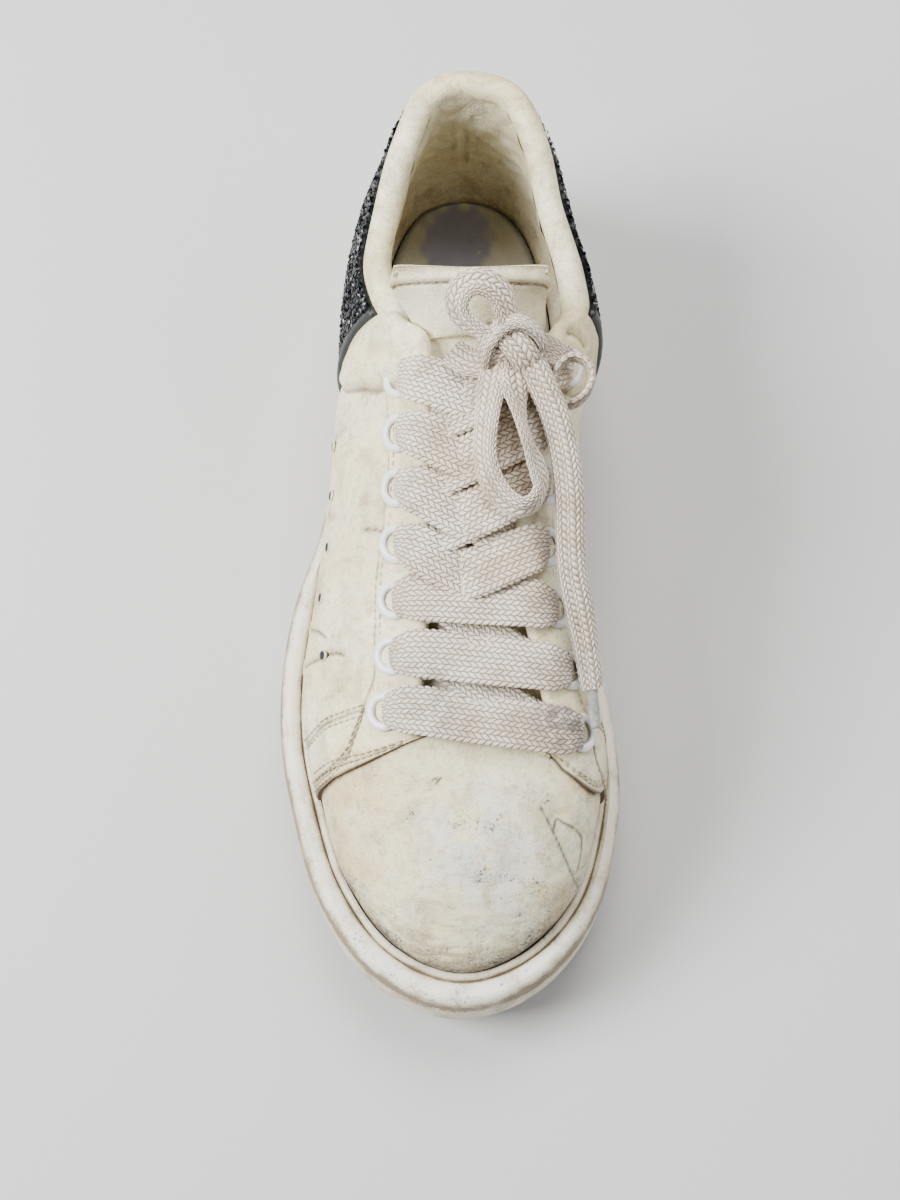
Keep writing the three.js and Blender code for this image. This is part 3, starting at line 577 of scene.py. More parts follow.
scratches = [
    [(15.12, 0.782), (15.3, 0.685), (15.52, 0.56), (15.7, 0.45), (15.9, 0.32), (16.03, 0.218)],
    [(15.3, 0.685), (15.42, 0.71), (15.55, 0.685), (15.8, 0.62), (15.98, 0.542), (15.95, 0.47),
     (15.86, 0.417)],
    [(8.22, 0.698), (8.3, 0.75), (8.39, 0.8)],
    [(13.06, 0.872), (13.02, 0.85)],
    [(12.99, 0.862), (12.93, 0.856)],
    [(9.05, 0.25), (9.24, 0.46), (9.4, 0.58)],
    [(8.55, 0.27), (8.84, 0.407), (9.05, 0.48)],
]
# Dents: where, how wide, how deep.  The leather is also pressed down round each vent hole.
dents = [
    ((12.31, 0.505), 3.0, 0.7),
    ((15.43, 0.72), 2.2, 0.9),
    ((14.6, 0.4), 9.0, 0.5),
    ((13.0, 0.75), 8.0, 0.4),
]
vent_spots = [(6.43, 0.4), (7.21, 0.405), (7.8, 0.412), (8.36, 0.385), (9.24, 0.46)]
dents += [(spot, 2.4, 1.1) for spot in vent_spots]


def leather_shape(u, v, stand):
    """Outer face of a panel with its folds, and how close each point is to seams, creases and scratches."""
    flat = base_point(u, v) + base_normal(u, v) * stand
    extra = np.zeros(u.shape)
    fold = np.zeros(u.shape)
    for line, depth, width in creases:
        d = distance_to(flat, on_leather(line, stand), 3 * width + 2)
        extra -= depth * np.exp(-(d / width)**2)
        extra += 0.45 * depth * np.exp(-((d - 2.1 * width) / width)**2)
        fold = np.maximum(fold, min(1.0, depth / 0.5) * np.exp(-(d / (0.55 * width))**2))
    for (du, dv), radius, depth in dents:
        spot = base_point(np.array(du), np.array(dv))
        extra -= depth * np.exp(-(np.linalg.norm(flat - spot, axis=-1) / radius)**2)
    scratch = np.zeros(u.shape)
    for line in scratches:
        scratch = np.maximum(scratch, np.exp(-(distance_to(flat, on_leather(line, stand), 2) / 0.42)**2))
    x, y, z = flat[..., 0], flat[..., 1], flat[..., 2]
    extra += 0.28 * np.sin(y / 9.3 + 0.8 * np.sin(z / 11.0)) * np.sin(z / 8.1 + x / 13.0)
    extra += 0.12 * np.sin(y / 3.9 + z / 5.3) * np.sin(z / 3.1 - y / 7.7)
    return flat, extra, fold, scratch


def panel(name, u, v_rows, stand, finish, edge_side=0):
    """A panel of the upper: outer face, rolled top edge and the turn inside it.  u holds one row of
    stations for each share in v_rows; edge_side says which end of the rows is a raw edge."""
    v = np.broadcast_to(v_rows[:, None], u.shape)
    flat, extra, fold, scratch = leather_shape(u, v, stand)
    seam = np.zeros(u.shape)
    # Near the quarters' front edge: on the vamp it is painted shadow cast by the quarter's raised edge, on
    # a quarter the raw edge's own dark colour.
    edge = np.exp(-(past_edge(u, v) / (0.08 if stand == 0 else 0.05))**2)
    from_heel = np.minimum(u % count, count - u % count)
    if stand > 0:
        for side in (lambda line: line, mirrored):
            ear = inside_outline(u, v, side(ear_outline))
            extra += 1.7 * ease(-0.7, 1.3, ear) - 0.8 * np.exp(-((ear + 0.8) / 0.7)**2)
            # Painted shade: a dark band just outside each ear, under its raised edge.
            fold = np.maximum(fold, 1.0 * np.exp(-((ear + 0.75) / 0.6)**2))
        mirror_u = np.where(u < toe, u, count - u)
        over_seam = v - np.interp(mirror_u, facing_u, facing_v)
        on_facing = (mirror_u > 7.1) & (mirror_u < 10.35)
        extra += np.where(on_facing, 0.55 * ease(-0.006, 0.006, over_seam), 0)
        for line, depth in ((facing_seam, 0.25), (hooked_seam, 0.5), (toe_seam, 0.45)):
            for side in (lambda part: part, mirrored):
                d = distance_to(flat, on_leather(side(line), stand), 3)
                extra -= depth * np.exp(-(d / 0.7)**2)
                seam = np.maximum(seam, np.exp(-(d / 0.55)**2))
        roll = ease(0.925, 0.955, v) * (1 - ease(4.7, 5.4, from_heel))
        extra += 1.1 * roll
        behind = past_edge(u, v)
        extra += 0.3 * (ease(0.004, 0.03, behind) - 1)
        row = np.exp(-((behind - 0.16) / 0.035)**2) * (0.7 + 0.3 * np.sign(np.sin(v * 190)))
        extra -= 0.3 * row
        seam = np.maximum(seam, 0.75 * row)
    normals = base_normal(u, v)
    outer = flat + normals * extra[..., None]
    top_u = u[-1]
    inner_top = inside(top_u, np.ones(top_u.shape))
    centre = (outer[-1] + inner_top) / 2
    across = outer[-1] - centre
    up = unit(base_point(top_u, 1.0) - base_point(top_u, 0.97))
    up = up * np.linalg.norm(across, axis=-1, keepdims=True)
    rim = [centre + across * math.cos(a) + up * math.sin(a) for a in np.radians(np.linspace(20, 180, 9))]
    lower = [inside(top_u, np.full(top_u.shape, share)) for share in (0.97, 0.93, 0.86)]
    points = np.concatenate([outer, rim, lower])
    extra_rows = len(points) - len(outer)

    def carried(values, fade=1.0):
        return np.concatenate([values, np.repeat(values[-1:] * fade, extra_rows, 0)])

    rows, columns = points.shape[:2]
    faces = grid_faces(rows, columns)
    if edge_side:
        # The raw edge turns down to the vamp.
        at = -1 if edge_side > 0 else 0
        edge_normals = np.concatenate([normals[:, at], np.repeat(normals[-1:, at], extra_rows, 0)])
        turned = [points[:, at] - edge_normals * drop for drop in (0.25, 0.8, stand + 0.1)]
        points = np.concatenate([points] + [t[:, None] for t in turned], 1) if at else np.concatenate(
            [t[:, None] for t in turned[::-1]] + [points], 1)
        faces = grid_faces(rows, columns + 3)

    def widened(values, new):
        values = carried(values)
        if not edge_side:
            return values
        block = np.full((rows, 3), new, float)
        return np.concatenate([values, block] if edge_side > 0 else [block, values], 1)

    x, y, z = np.moveaxis(outer, -1, 0)
    over_rim = np.clip(z - rim_height(y), 0, None)
    foot_seam = np.exp(-(over_rim / 1.6)**2)
    splash = np.exp(-(over_rim / 9)**2)
    # The grime and line masks hold dirt, seams, joints and raw edges, and painted shade as well: the shadow
    # on the vamp beside the quarters' edges and the band under each ear's edge. They also darken the crease
    # troughs.
    masks = {
        "grime_and_shade": np.clip(0.24 + 0.75 * foot_seam + 0.32 * splash + 0.4 * fold + 0.5 * seam + 0.45 * edge
                         + 0.22 * splash * ease(-84, -112, y), 0, 1),
        "line": np.clip(np.maximum(0.55 * fold**3, 0.8 * seam**2) + foot_seam**3
                        + (0.85 if stand == 0 else 0.3) * edge**2, 0, 1),
        "scratch": scratch,
        "chalk": np.exp(-((x - 8) / 26)**2 - ((y + 98) / 20)**2) * (stand == 0),
        "warm": (0.3 + 0.7 * ease(10, 32, abs(x - 3))) * (stand == 0) + 0.4 * (stand > 0),
        "streak": ease(-96, -122, y) * (stand == 0) * (0.45 + 0.55 * np.exp(-(over_rim / 12)**2)),
        "scuff": np.clip(0.3 * np.exp(-(np.hypot(x - 25, y + 112) / 10)**2)
                         + 0.18 * ease(-60, -84, y) * (stand == 0)
                         + 0.9 * np.exp(-(over_rim / 8)**2) * ease(-84, -108, y), 0, 1),
    }
    on_edges = {"grime_and_shade": 0.9, "line": 0.35}
    masks = {key: widened(values, on_edges.get(key, 0.0)) for key, values in masks.items()}
    masks["raw"] = widened(np.zeros(u.shape), 1.0)
    if edge_side:
        near_edge = widened(edge * 0.6, 1.0)
        masks["raw"] = np.maximum(masks["raw"], np.where(near_edge > 0.9, 1.0, 0.75 * near_edge))
    made = make_piece(name, points, faces, finish, "upper_leather", masks)
    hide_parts("upper")
    return made


# The pebble of smooth corrected leather: shallow pores in soft uneven plumpness.
leather_grain, grain_in, grain_out = start_group("leather_grain", [("Place", VECTOR), ("Depth", FLOAT)],
                                                 [("Height", FLOAT)])
grain_cells = node(leather_grain, "ShaderNodeTexVoronoi",
                   {"Vector": grain_in.outputs["Place"], "Scale": 1.15, "Randomness": 1.0},
                   feature="DISTANCE_TO_EDGE")
grain_pores = ramp(leather_grain, grain_cells.outputs["Distance"], 0.0, 0.22)
grain_soft = noise(leather_grain, grain_in.outputs["Place"], 0.32, 4.0, 0.6)
grain_sum = plus(leather_grain, times(leather_grain, grain_pores, 0.35), grain_soft)
leather_grain.links.new(times(leather_grain, grain_sum, grain_in.outputs["Depth"]),
                        grain_out.inputs["Height"])


def leather(name, cream, white, yellow, roughness, grain_depth, soil=1.0):
    """White pigmented leather, worn: colour drift, chalky rubbed places, dirt and painted shade, specks,
    scratches.
    """
    material, tree, shader = start_material(name, roughness)
    spot = place_in_mm(tree)
    tone = tint(tree, ramp(tree, noise(tree, spot, 0.028, 4.0, 0.55), 0.35, 0.68), cream, white)
    warmth = times(tree, mask(tree, "warm"), ramp(tree, noise(tree, spot, 0.05, 5.0, 0.6), 0.38, 0.66))
    tone = tint(tree, warmth, tone, yellow)
    rubbed = times(tree, mask(tree, "chalk"), ramp(tree, noise(tree, spot, 0.09, 6.0, 0.7), 0.38, 0.6))
    tone = tint(tree, times(tree, rubbed, 0.85), tone, (0.68, 0.71, 0.71, 1))
    smears = ramp(tree, noise(tree, spot, 0.075, 6.0, 0.68, 0.6), 0.48, 0.66, 0, 0.62 * soil)
    tone = tint(tree, smears, tone, (0.52, 0.43, 0.26, 1))
    mottle = ramp(tree, noise(tree, spot, 0.42, 7.0, 0.78), 0.49, 0.66, 0, 0.6 * soil)
    tone = tint(tree, mottle, tone, (0.42, 0.34, 0.20, 1))
    rubs = noise(tree, place_in_mm(tree, (180, 1300, 1300)), 0.3, 6.0, 0.72, 0.4)
    streaks = times(tree, mask(tree, "streak"), ramp(tree, rubs, 0.46, 0.62))
    tone = tint(tree, times(tree, streaks, 0.75), tone, (0.30, 0.22, 0.12, 1))
    # Settled dirt, and painted shade where the mask carries it: beside the quarters' raised edges, under
    # the ears, along the lining's folds and down inside it.
    dirt = put_group(tree, patchy_dirt_and_shade, Place=spot, Amount=mask(tree, "grime_and_shade"), Patch=2.4)
    tone = tint(tree, times(tree, dirt, 0.8), tone, (0.21, 0.14, 0.08, 1))
    dots = plus(tree, times(tree, mask(tree, "chalk"), 0.16),
                plus(tree, times(tree, mask(tree, "scuff"), 0.75), 0.11 * soil))
    dark = put_group(tree, specks, Place=spot, Scale=0.9, Amount=dots)
    tone = tint(tree, times(tree, dark, 0.85), tone, (0.045, 0.04, 0.035, 1))
    fine = put_group(tree, specks, Place=spot, Scale=2.3, Amount=times(tree, dots, 1.2))
    tone = tint(tree, times(tree, fine, 0.6), tone, (0.07, 0.055, 0.045, 1))
    # Dark lines: seams, joints and raw edges, and painted shade beside the quarters' edges, under the ears
    # and on the lining's folds; crease troughs darken too.
    tone = tint(tree, times(tree, mask(tree, "line"), 0.9), tone, (0.085, 0.05, 0.03, 1))
    cut = times(tree, mask(tree, "scratch"), ramp(tree, noise(tree, spot, 0.5, 3.0), 0.26, 0.42, 0.25, 1))
    tone = tint(tree, times(tree, cut, 0.95), tone, (0.06, 0.04, 0.03, 1))
    frayed = times(tree, mask(tree, "raw"), ramp(tree, noise(tree, spot, 1.4, 4.0), 0.3, 0.6, 0.55, 1))
    tone = tint(tree, frayed, tone, (0.075, 0.043, 0.022, 1))
    link(tree, tone, shader, "Base Color")
    dull = plus(tree, roughness, times(tree, dirt, 0.3))
    uneven = ramp(tree, noise(tree, spot, 0.3, 5.0, 0.6), 0.35, 0.65, -0.06, 0.1)
    link(tree, plus(tree, dull, uneven, clamp=True), shader, "Roughness")
    grain = put_group(tree, leather_grain, Place=spot, Depth=grain_depth)
    wear = maths(tree, "SUBTRACT", grain, times(tree, cut, 1.2))
    link(tree, bump(tree, wear, 0.22, 0.75), shader, "Normal")
    return material


white_leather = leather("upper_leather", (0.86, 0.76, 0.46, 1), (0.94, 0.905, 0.69, 1),
                        (0.76, 0.60, 0.32, 1), 0.46, 1.0)
rows_v = np.concatenate([[0.04, 0.08], np.linspace(0.1, 1, 118)])

# Vamp: from under the outer quarter to under the inner one.
tuck = 0.3
start_u = np.interp(rows_v, edge_share, outer_edge) - tuck
end_u = np.interp(rows_v, inner_edge_share, inner_edge) + tuck
vamp_share = np.linspace(0, 1, 280)
vamp_u = start_u[:, None] + (end_u - start_u)[:, None] * vamp_share
panel("vamp", vamp_u, rows_v, 0.0, white_leather)

# Quarters: from the back seam, under the counter, to their front edges.
quarter_share = np.concatenate([np.linspace(0, 0.985, 375), 1 - 0.015 * np.linspace(1, 0, 14)[1:]**1.5])
outer_u = np.interp(rows_v, edge_share, outer_edge)[:, None] * quarter_share
panel("outer_quarter", outer_u, rows_v, quarter_stand, white_leather, edge_side=1)
inner_width = count - np.interp(rows_v, inner_edge_share, inner_edge)
inner_u = count - inner_width[:, None] * quarter_share[::-1]
panel("inner_quarter", inner_u, rows_v, quarter_stand, white_leather, edge_side=-1)

# ---- collar lining ------------------------------------------------------------------------------
# Soft cream leather over foam, turned in over the top line and glued down inside.  It has folded into
# upright wrinkles at the back of the heel.
lining_columns = 420
lining_u = np.arange(lining_columns) / lining_columns * count
lining_v = np.linspace(1, 0.02, 56)
u, v = np.meshgrid(lining_u, lining_v)
from_back = np.where(u > toe, u - count, u)
folds = np.zeros(u.shape)
for centre, width, depth, low, high in (
        (-0.07, 0.05, 0.75, 0.3, 0.78),
        (-0.34, 0.13, 0.6, 0.45, 0.75),
        (0.26, 0.12, 0.8, 0.4, 0.72),
        (0.55, 0.16, 0.5, 0.35, 0.7),
        (-0.66, 0.18, 0.5, 0.35, 0.7),
        (1.0, 0.22, 0.4, 0.5, 0.75)):
    lean = centre * (0.7 + 0.5 * v) + 0.03 * np.sin(9 * v + centre * 9)
    reach = ease(low - 0.2, low + 0.1, v) * (1 - ease(high - 0.05, high + 0.22, v))
    folds += depth * np.exp(-((from_back - lean) / width)**2) * reach
z = base_point(u, v)[..., 2]
wrinkle = 0.2 * np.sin(z / 1.3 + 2.5 * np.sin(from_back * 4.2)) * (1 - ease(4.5, 6, abs(from_back)))
near_back = 1 - ease(2.5, 5, abs(from_back))
wrinkle += 0.3 * np.sin(z / 2.9 + 5 * from_back) * np.sin(from_back * 2.3) * near_back
lining_points = inside(u, v, 0.15 + folds + wrinkle * ease(0.2, 0.4, v))
lining_faces = grid_faces(len(lining_v), lining_columns, round_columns=True)
# Painted shade: the lining darkens down into the shoe and along its folds, with a thin dark line on the
# strongest folds; over it a little dirt all round.
lining_masks = {
    "grime_and_shade": 0.2 + 0.35 * ease(0.35, 0.05, v) + 0.25 * np.clip(folds, 0, 1),
    "line": 0.3 * np.clip(folds, 0, 1)**4,
    "warm": np.full(u.shape, 0.6),
}
lining_leather = leather("lining_leather", (0.64, 0.575, 0.39, 1), (0.76, 0.715, 0.54, 1),
                         (0.62, 0.52, 0.31, 1), 0.5, 2.4, 0.4)
lining = make_piece("collar_lining", lining_points, lining_faces, lining_leather, "upper_leather",
                    lining_masks)
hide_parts("upper")

# ---- heel counter -------------------------------------------------------------------------------
# A stiff cup round the heel, faced with chunky black glitter: small hexagonal film flakes set in
# lacquer, a few of them silver.  Its front edges are bound in smooth black leather.
counter_end = 5
counter_lift = 0.5
counter_thick = 2.0
counter_low, counter_high = 0.12, 0.93
counter_u = np.linspace(-counter_end, counter_end, 150)
counter_v = np.linspace(counter_low, counter_high, 44)
u, v = np.meshgrid(counter_u, counter_v)


def counter_face(u, v, lift):
    return outside(u % count, v, counter_lift + lift)


def shell_faces(rows, columns):
    """Faces of a grid, of a second one behind it, and of the band that closes them round the edge."""
    size = rows * columns
    around = np.concatenate([np.arange(columns), np.arange(1, rows) * columns + columns - 1,
                             size - 2 - np.arange(columns - 1), (np.arange(rows - 2)[::-1] + 1) * columns])
    following = np.roll(around, -1)
    band = np.stack([around, around + size, following + size, following], 1)
    return np.concatenate([grid_faces(rows, columns), grid_faces(rows, columns, first=size)[:, ::-1], band])


edge_round = 1 - 0.6 * np.maximum(1 - ease(counter_low, counter_low + 0.03, v),
                                  ease(counter_high - 0.03, counter_high, v))
counter_front = counter_face(u, v, counter_thick * edge_round)
counter_back = counter_face(u, v, 0.0)
counter_points = np.stack([counter_front, counter_back])
counter_faces = shell_faces(*u.shape)[:, ::-1]

lacquer, tree, shader = start_material("glitter_ground", 0.38)
spot = place_in_mm(tree)
ground = tint(tree, noise(tree, spot, 0.5, 3.0), (0.006, 0.007, 0.008, 1), (0.022, 0.024, 0.026, 1))
link(tree, ground, shader, "Base Color")
pits = node(tree, "ShaderNodeTexVoronoi", {"Vector": spot, "Scale": 0.9}).outputs["Distance"]
link(tree, bump(tree, pits, 0.5, 0.8), shader, "Normal")
counter = make_piece("glitter_counter", counter_points, counter_faces, lacquer, "glitter_fabric")
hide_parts("heel_counter")

flake_count = 14500
draw = np.random.default_rng(11)
flake_u = draw.uniform(-counter_end + 0.1, counter_end - 0.1, flake_count)
flake_v = draw.uniform(counter_low + 0.005, counter_high - 0.005, flake_count)
flake_place = counter_face(flake_u, flake_v, counter_thick + draw.uniform(0.0, 0.45, flake_count))
flake_normal = unit(base_normal(flake_u % count, flake_v) + draw.normal(0, 0.3, (flake_count, 3)))
flake_side = unit(np.cross(flake_normal, draw.normal(0, 1, (flake_count, 3))))
flake_up = np.cross(flake_normal, flake_side)
flake_radius = draw.uniform(0.38, 0.72, flake_count)[:, None, None]
six = np.radians(np.arange(6) * 60)
flake_points = (flake_place[:, None] + flake_radius * (np.cos(six)[None, :, None] * flake_side[:, None]
                                                       + np.sin(six)[None, :, None] * flake_up[:, None]))
flake_faces = np.arange(flake_count * 6).reshape(-1, 6)
flake_tone = np.repeat(draw.uniform(0, 1, flake_count), 6)
film, tree, shader = start_material("glitter_flakes", 0.22)
sort = mask(tree, "flake")
flake_colour = tint(tree, ramp(tree, sort, 0.80, 0.86), (0.012, 0.014, 0.016, 1), (0.10, 0.105, 0.105, 1))
flake_colour = tint(tree, ramp(tree, sort, 0.93, 0.97), flake_colour, (0.62, 0.63, 0.62, 1))
link(tree, flake_colour, shader, "Base Color")
link(tree, ramp(tree, sort, 0.1, 0.9, 0.3, 0.85), shader, "Metallic")
link(tree, ramp(tree, noise(tree, place_in_mm(tree), 1.2), 0.3, 0.7, 0.16, 0.34), shader, "Roughness")
flakes = make_piece("glitter_flakes", flake_points, flake_faces, film, "glitter_fabric",
                    {"flake": flake_tone}, smooth=False)
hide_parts("heel_counter")


def rope(points, normals, widths, heights, sides=14, close=True):
    """A rounded strip along points: widths across it, heights off the surface.  Gives points and faces."""
    along = unit(np.gradient(points, axis=0))
    across = unit(np.cross(along, normals))
    up = np.cross(across, along)
    turn = np.linspace(0, 2 * math.pi, sides, endpoint=False)
    ring = (points[:, None] + across[:, None]
            * (np.cos(turn)[None, :, None] * np.reshape(widths, (-1, 1, 1)))
            + up[:, None] * (np.sin(turn)[None, :, None] * np.reshape(heights, (-1, 1, 1))))
    faces = grid_faces(len(points), sides, round_columns=True).tolist()
    if close:
        faces.append(list(range(sides)))
        faces.append(list(range((len(points) - 1) * sides, len(points) * sides))[::-1])
    return ring.reshape(-1, 3), faces


def joined(parts):
    """Several (points, faces) pairs as one."""
    points, faces, first = [], [], 0
    for part_points, part_faces in parts:
        points.append(part_points)
        faces += [[first + k for k in face] for face in part_faces]
        first += len(part_points)
    return np.concatenate(points), faces


binding_steps = 70
binding_half_width = 2.1
binding_height = 1.75
binding_parts = []
for end in (-counter_end, counter_end):
    strip_v = np.linspace(counter_low - 0.01, counter_high + 0.01, binding_steps)
    strip_u = np.full(binding_steps, float(end)) - math.copysign(0.04, end)
    strip = counter_face(strip_u, strip_v, 1.0)
    strip_normal = base_normal(strip_u % count, strip_v)
    binding_parts.append(rope(strip, strip_normal, binding_half_width, binding_height))
black_leather, tree, shader = start_material("binding_leather", 0.36)
spot = place_in_mm(tree)
binding_tone = tint(tree, noise(tree, spot, 0.2, 4.0), (0.004, 0.006, 0.005, 1), (0.012, 0.017, 0.014, 1))
binding_dust = put_group(tree, patchy_dirt_and_shade, Place=spot, Amount=0.16, Patch=1.2)
binding_tone = tint(tree, times(tree, binding_dust, 0.2), binding_tone, (0.12, 0.105, 0.08, 1))
link(tree, binding_tone, shader, "Base Color")
binding_grain = put_group(tree, leather_grain, Place=spot, Depth=1.0)
link(tree, bump(tree, binding_grain, 0.15, 0.6), shader, "Normal")
link(tree, ramp(tree, noise(tree, spot, 0.4, 4.0), 0.35, 0.65, 0.3, 0.45), shader, "Roughness")
binding = make_piece("counter_binding", *joined(binding_parts), black_leather, "glitter_fabric")
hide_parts("heel_counter")

# ---- insole -------------------------------------------------------------------------------------
# A cream leather sock on thin foam, dropped into the cup.  Feet have dished it and worn a grey-purple
# patch under the heel; a dark seam of dust lies along its edge.
sock_columns = 240
sock_u = np.arange(sock_columns) / sock_columns * count
sock_inset = wall + 2 * gap + padding(sock_u, np.zeros(sock_columns))
sock_out = outward(sock_u)
sock_foot = foot_line(sock_u)
sock_edge = sock_foot - sock_out * sock_inset[:, None]
sock_low = floor_height(sock_foot[:, 1]) + gap
pair = np.arange(0, sock_columns // 2 + 1)
mate = (sock_columns - pair) % sock_columns
sock_across = 60
across_share = np.linspace(0, 1, sock_across)[None, :]
share = across_share[..., None]
flat = sock_edge[pair][:, None] * (1 - share) + sock_edge[mate][:, None] * share
sock_z = sock_low[pair][:, None] * (1 - across_share) + sock_low[mate][:, None] * across_share
middle_share = 1 - abs(2 * across_share - 1)**3
ends_share = ease(0, 7, pair)[:, None] * ease(0, 7, pair[::-1])[:, None]
sock_top_z = sock_z + 4 - 0.9 * middle_share * ends_share
x, y = flat[..., 0], flat[..., 1]
sock_top_z += 0.25 * np.sin(x / 6.1 + y / 9.7) * np.sin(y / 7.3) * middle_share * ends_share
sock_top = np.concatenate([flat, sock_top_z[..., None]], -1)
sock_lifts = (0.0, 1.5, 3.0, 4.0)
side_rings = np.array([np.concatenate([sock_edge, (sock_low + lift)[:, None]], -1) for lift in sock_lifts])
side_size = len(sock_lifts) * sock_columns
sock_points = np.concatenate([side_rings.reshape(-1, 3), sock_top.reshape(-1, 3)])
sock_faces = np.concatenate([
    grid_faces(len(sock_lifts), sock_columns, round_columns=True)[:, ::-1],
    grid_faces(len(pair), sock_across, first=side_size)])
patch_edge = 0.12 * np.sin(x * 0.9) * np.sin(y * 0.6)
patch = 1 - ease(0.75, 1.1, np.hypot((x - 2.8) / 12.5, (y - 110) / 15.5) + patch_edge)
sock_width = np.linalg.norm(flat[:, -1:] - flat[:, :1], axis=-1)
sock_rim = np.exp(-(np.minimum(across_share, 1 - across_share) * sock_width / 1.6)**2)
sock_masks = {
    "worn": np.concatenate([np.zeros(side_size), patch.ravel()]),
    "line": np.concatenate([np.full(side_size, 0.8), 0.75 * sock_rim.ravel()]),
}
sock, tree, shader = start_material("insole_leather", 0.55)
spot = place_in_mm(tree)
sock_tone = tint(tree, ramp(tree, noise(tree, spot, 0.06, 5.0, 0.6), 0.35, 0.65), (0.40, 0.37, 0.275, 1),
                 (0.49, 0.46, 0.36, 1))
worn_share = times(tree, mask(tree, "worn"), ramp(tree, noise(tree, spot, 0.35, 6.0, 0.7), 0.2, 0.42))
sock_tone = tint(tree, times(tree, worn_share, 0.92), sock_tone, (0.235, 0.23, 0.325, 1))
sock_dirt = put_group(tree, patchy_dirt_and_shade, Place=spot, Amount=0.16, Patch=1.2)
sock_tone = tint(tree, times(tree, sock_dirt, 0.5), sock_tone, (0.25, 0.19, 0.12, 1))
sock_tone = tint(tree, mask(tree, "line"), sock_tone, (0.05, 0.035, 0.025, 1))
link(tree, sock_tone, shader, "Base Color")
sock_grain = put_group(tree, leather_grain, Place=spot, Depth=1.0)
link(tree, bump(tree, sock_grain, 0.25, 0.6), shader, "Normal")
link(tree, ramp(tree, noise(tree, spot, 0.3, 4.0), 0.35, 0.65, 0.48, 0.68), shader, "Roughness")
insole = make_piece("insole_sock", sock_points, sock_faces, sock, "insole_leather", sock_masks)
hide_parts("insole")

# ---- tongue -------------------------------------------------------------------------------------
# Soft padded leather sewn in under the vamp's edge.  Its top stands above the facings and is finished
# with a turned band, held by one row of stitches 4.4 mm below the edge.
facing_top = 7
quarter_front = 11


def tongue_row(share):
    station = facing_top + (quarter_front - facing_top) * share
    left = [inside(np.array(station), np.array(at), 0.9) for at in (0.74, 0.86, 0.96)]
    right = [inside(np.array(count - station), np.array(at), 0.9) for at in (0.96, 0.84, 0.7)]
    crown = (left[2] + right[0]) / 2 + np.array([0, 0, 1.6])
    return [*left, crown, *right]


tongue_knots = [
    [[-16.6, 62.9, 114.4], [-15.2, 63.1, 116.4], [-6, 62.9, 117.6], [6, 62.7, 118], [18, 62.9, 117.6],
     [28, 63.1, 116.4], [29.4, 62.9, 114.4]],
    [[-17.2, 61.2, 109.5], [-15.4, 61.6, 112.2], [-6, 60.9, 115.2], [6, 60.6, 116.4], [18, 60.9, 115.2],
     [27.6, 61.6, 112.2], [29.6, 61.2, 109.5]],
    [[-15.0, 59.0, 104.0], [-14.0, 59.6, 107.6], [-5.5, 58.4, 112.0], [6.5, 58, 113.8],
     [18.5, 58.4, 112.0], [26.8, 59.6, 107.6], [29.0, 59.0, 104.0]],
    [[-11.5, 55.0, 99.0], [-10.8, 55.3, 103.2], [-4.2, 54.6, 107.8], [7.2, 54.2, 110.2],
     [19.2, 54.6, 107.8], [26.8, 55.3, 103.2], [29.0, 55.0, 99.0]],
    [[-9.8, 49.5, 93.6], [-7.2, 49.5, 98.2], [-2.2, 49.0, 102.6], [8.8, 48.6, 105.2], [20.3, 49.0, 102.6],
     [27.2, 49.5, 98.2], [30, 49.5, 93.6]],
]
tongue_knots += [tongue_row(k / 5) for k in range(6)]
end_row = np.array(tongue_row(1)) + np.array([0, -7, -2.6])
tongue_knots = np.array([np.array(row, float) for row in tongue_knots] + [end_row])
tongue_grid = finer(np.moveaxis(finer(tongue_knots, 12), 1, 0), 14)
tongue_grid = np.moveaxis(tongue_grid, 0, 1)
tongue_rows, tongue_columns = tongue_grid.shape[:2]
along = np.gradient(tongue_grid, axis=0)
sideways = np.gradient(tongue_grid, axis=1)
tongue_normal = unit(np.cross(along, sideways))
side_place = np.linspace(0, 1, tongue_columns)[None, :]
from_top = run_along(tongue_grid[:, tongue_columns // 2])[:, None] + 0 * side_place
edge_soft = ease(0, 0.07, side_place) * ease(0, 0.07, 1 - side_place) * ease(0, 3.0, from_top)
stitch_down = 4.4
seam_dip = np.exp(-((from_top - stitch_down) / 0.55)**2)
puff = 0.9 * edge_soft - 0.75 * seam_dip + 0.5 * np.exp(-((from_top - 2.2) / 1.5)**2) * edge_soft
puff += 0.22 * np.sin(from_top / 5.0 + 3 * side_place) * np.sin(9 * side_place + from_top / 11) * edge_soft
tongue_face = tongue_grid + tongue_normal * (puff - 1.0)[..., None]
tongue_back = tongue_grid - tongue_normal * (1.6 + 1.5 * edge_soft)[..., None]
size = tongue_rows * tongue_columns
tongue_faces = shell_faces(tongue_rows, tongue_columns)
band_dirt = np.exp(-((from_top - 0.3) / 1.2)**2)
lace_rub = ease(12, 30, from_top)
tongue_masks = {
    "grime_and_shade": np.concatenate([(0.12 + 0.45 * seam_dip + 0.25 * band_dirt + 0.22 * lace_rub).ravel(),
                             np.full(size, 0.2)]),
    "line": np.concatenate([(0.5 * np.exp(-((from_top - stitch_down) / 0.35)**2)).ravel(), np.zeros(size)]),
    "warm": np.concatenate([(0.3 + 0.4 * band_dirt).ravel(), np.zeros(size)]),
}
tongue_leather = leather("tongue_leather", (0.79, 0.72, 0.49, 1), (0.89, 0.85, 0.66, 1),
                         (0.70, 0.58, 0.34, 1), 0.5, 1.4, 0.6)
tongue = make_piece("tongue_pad", [tongue_face, tongue_back], tongue_faces, tongue_leather,
                    "tongue_leather", tongue_masks)
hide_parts("tongue")

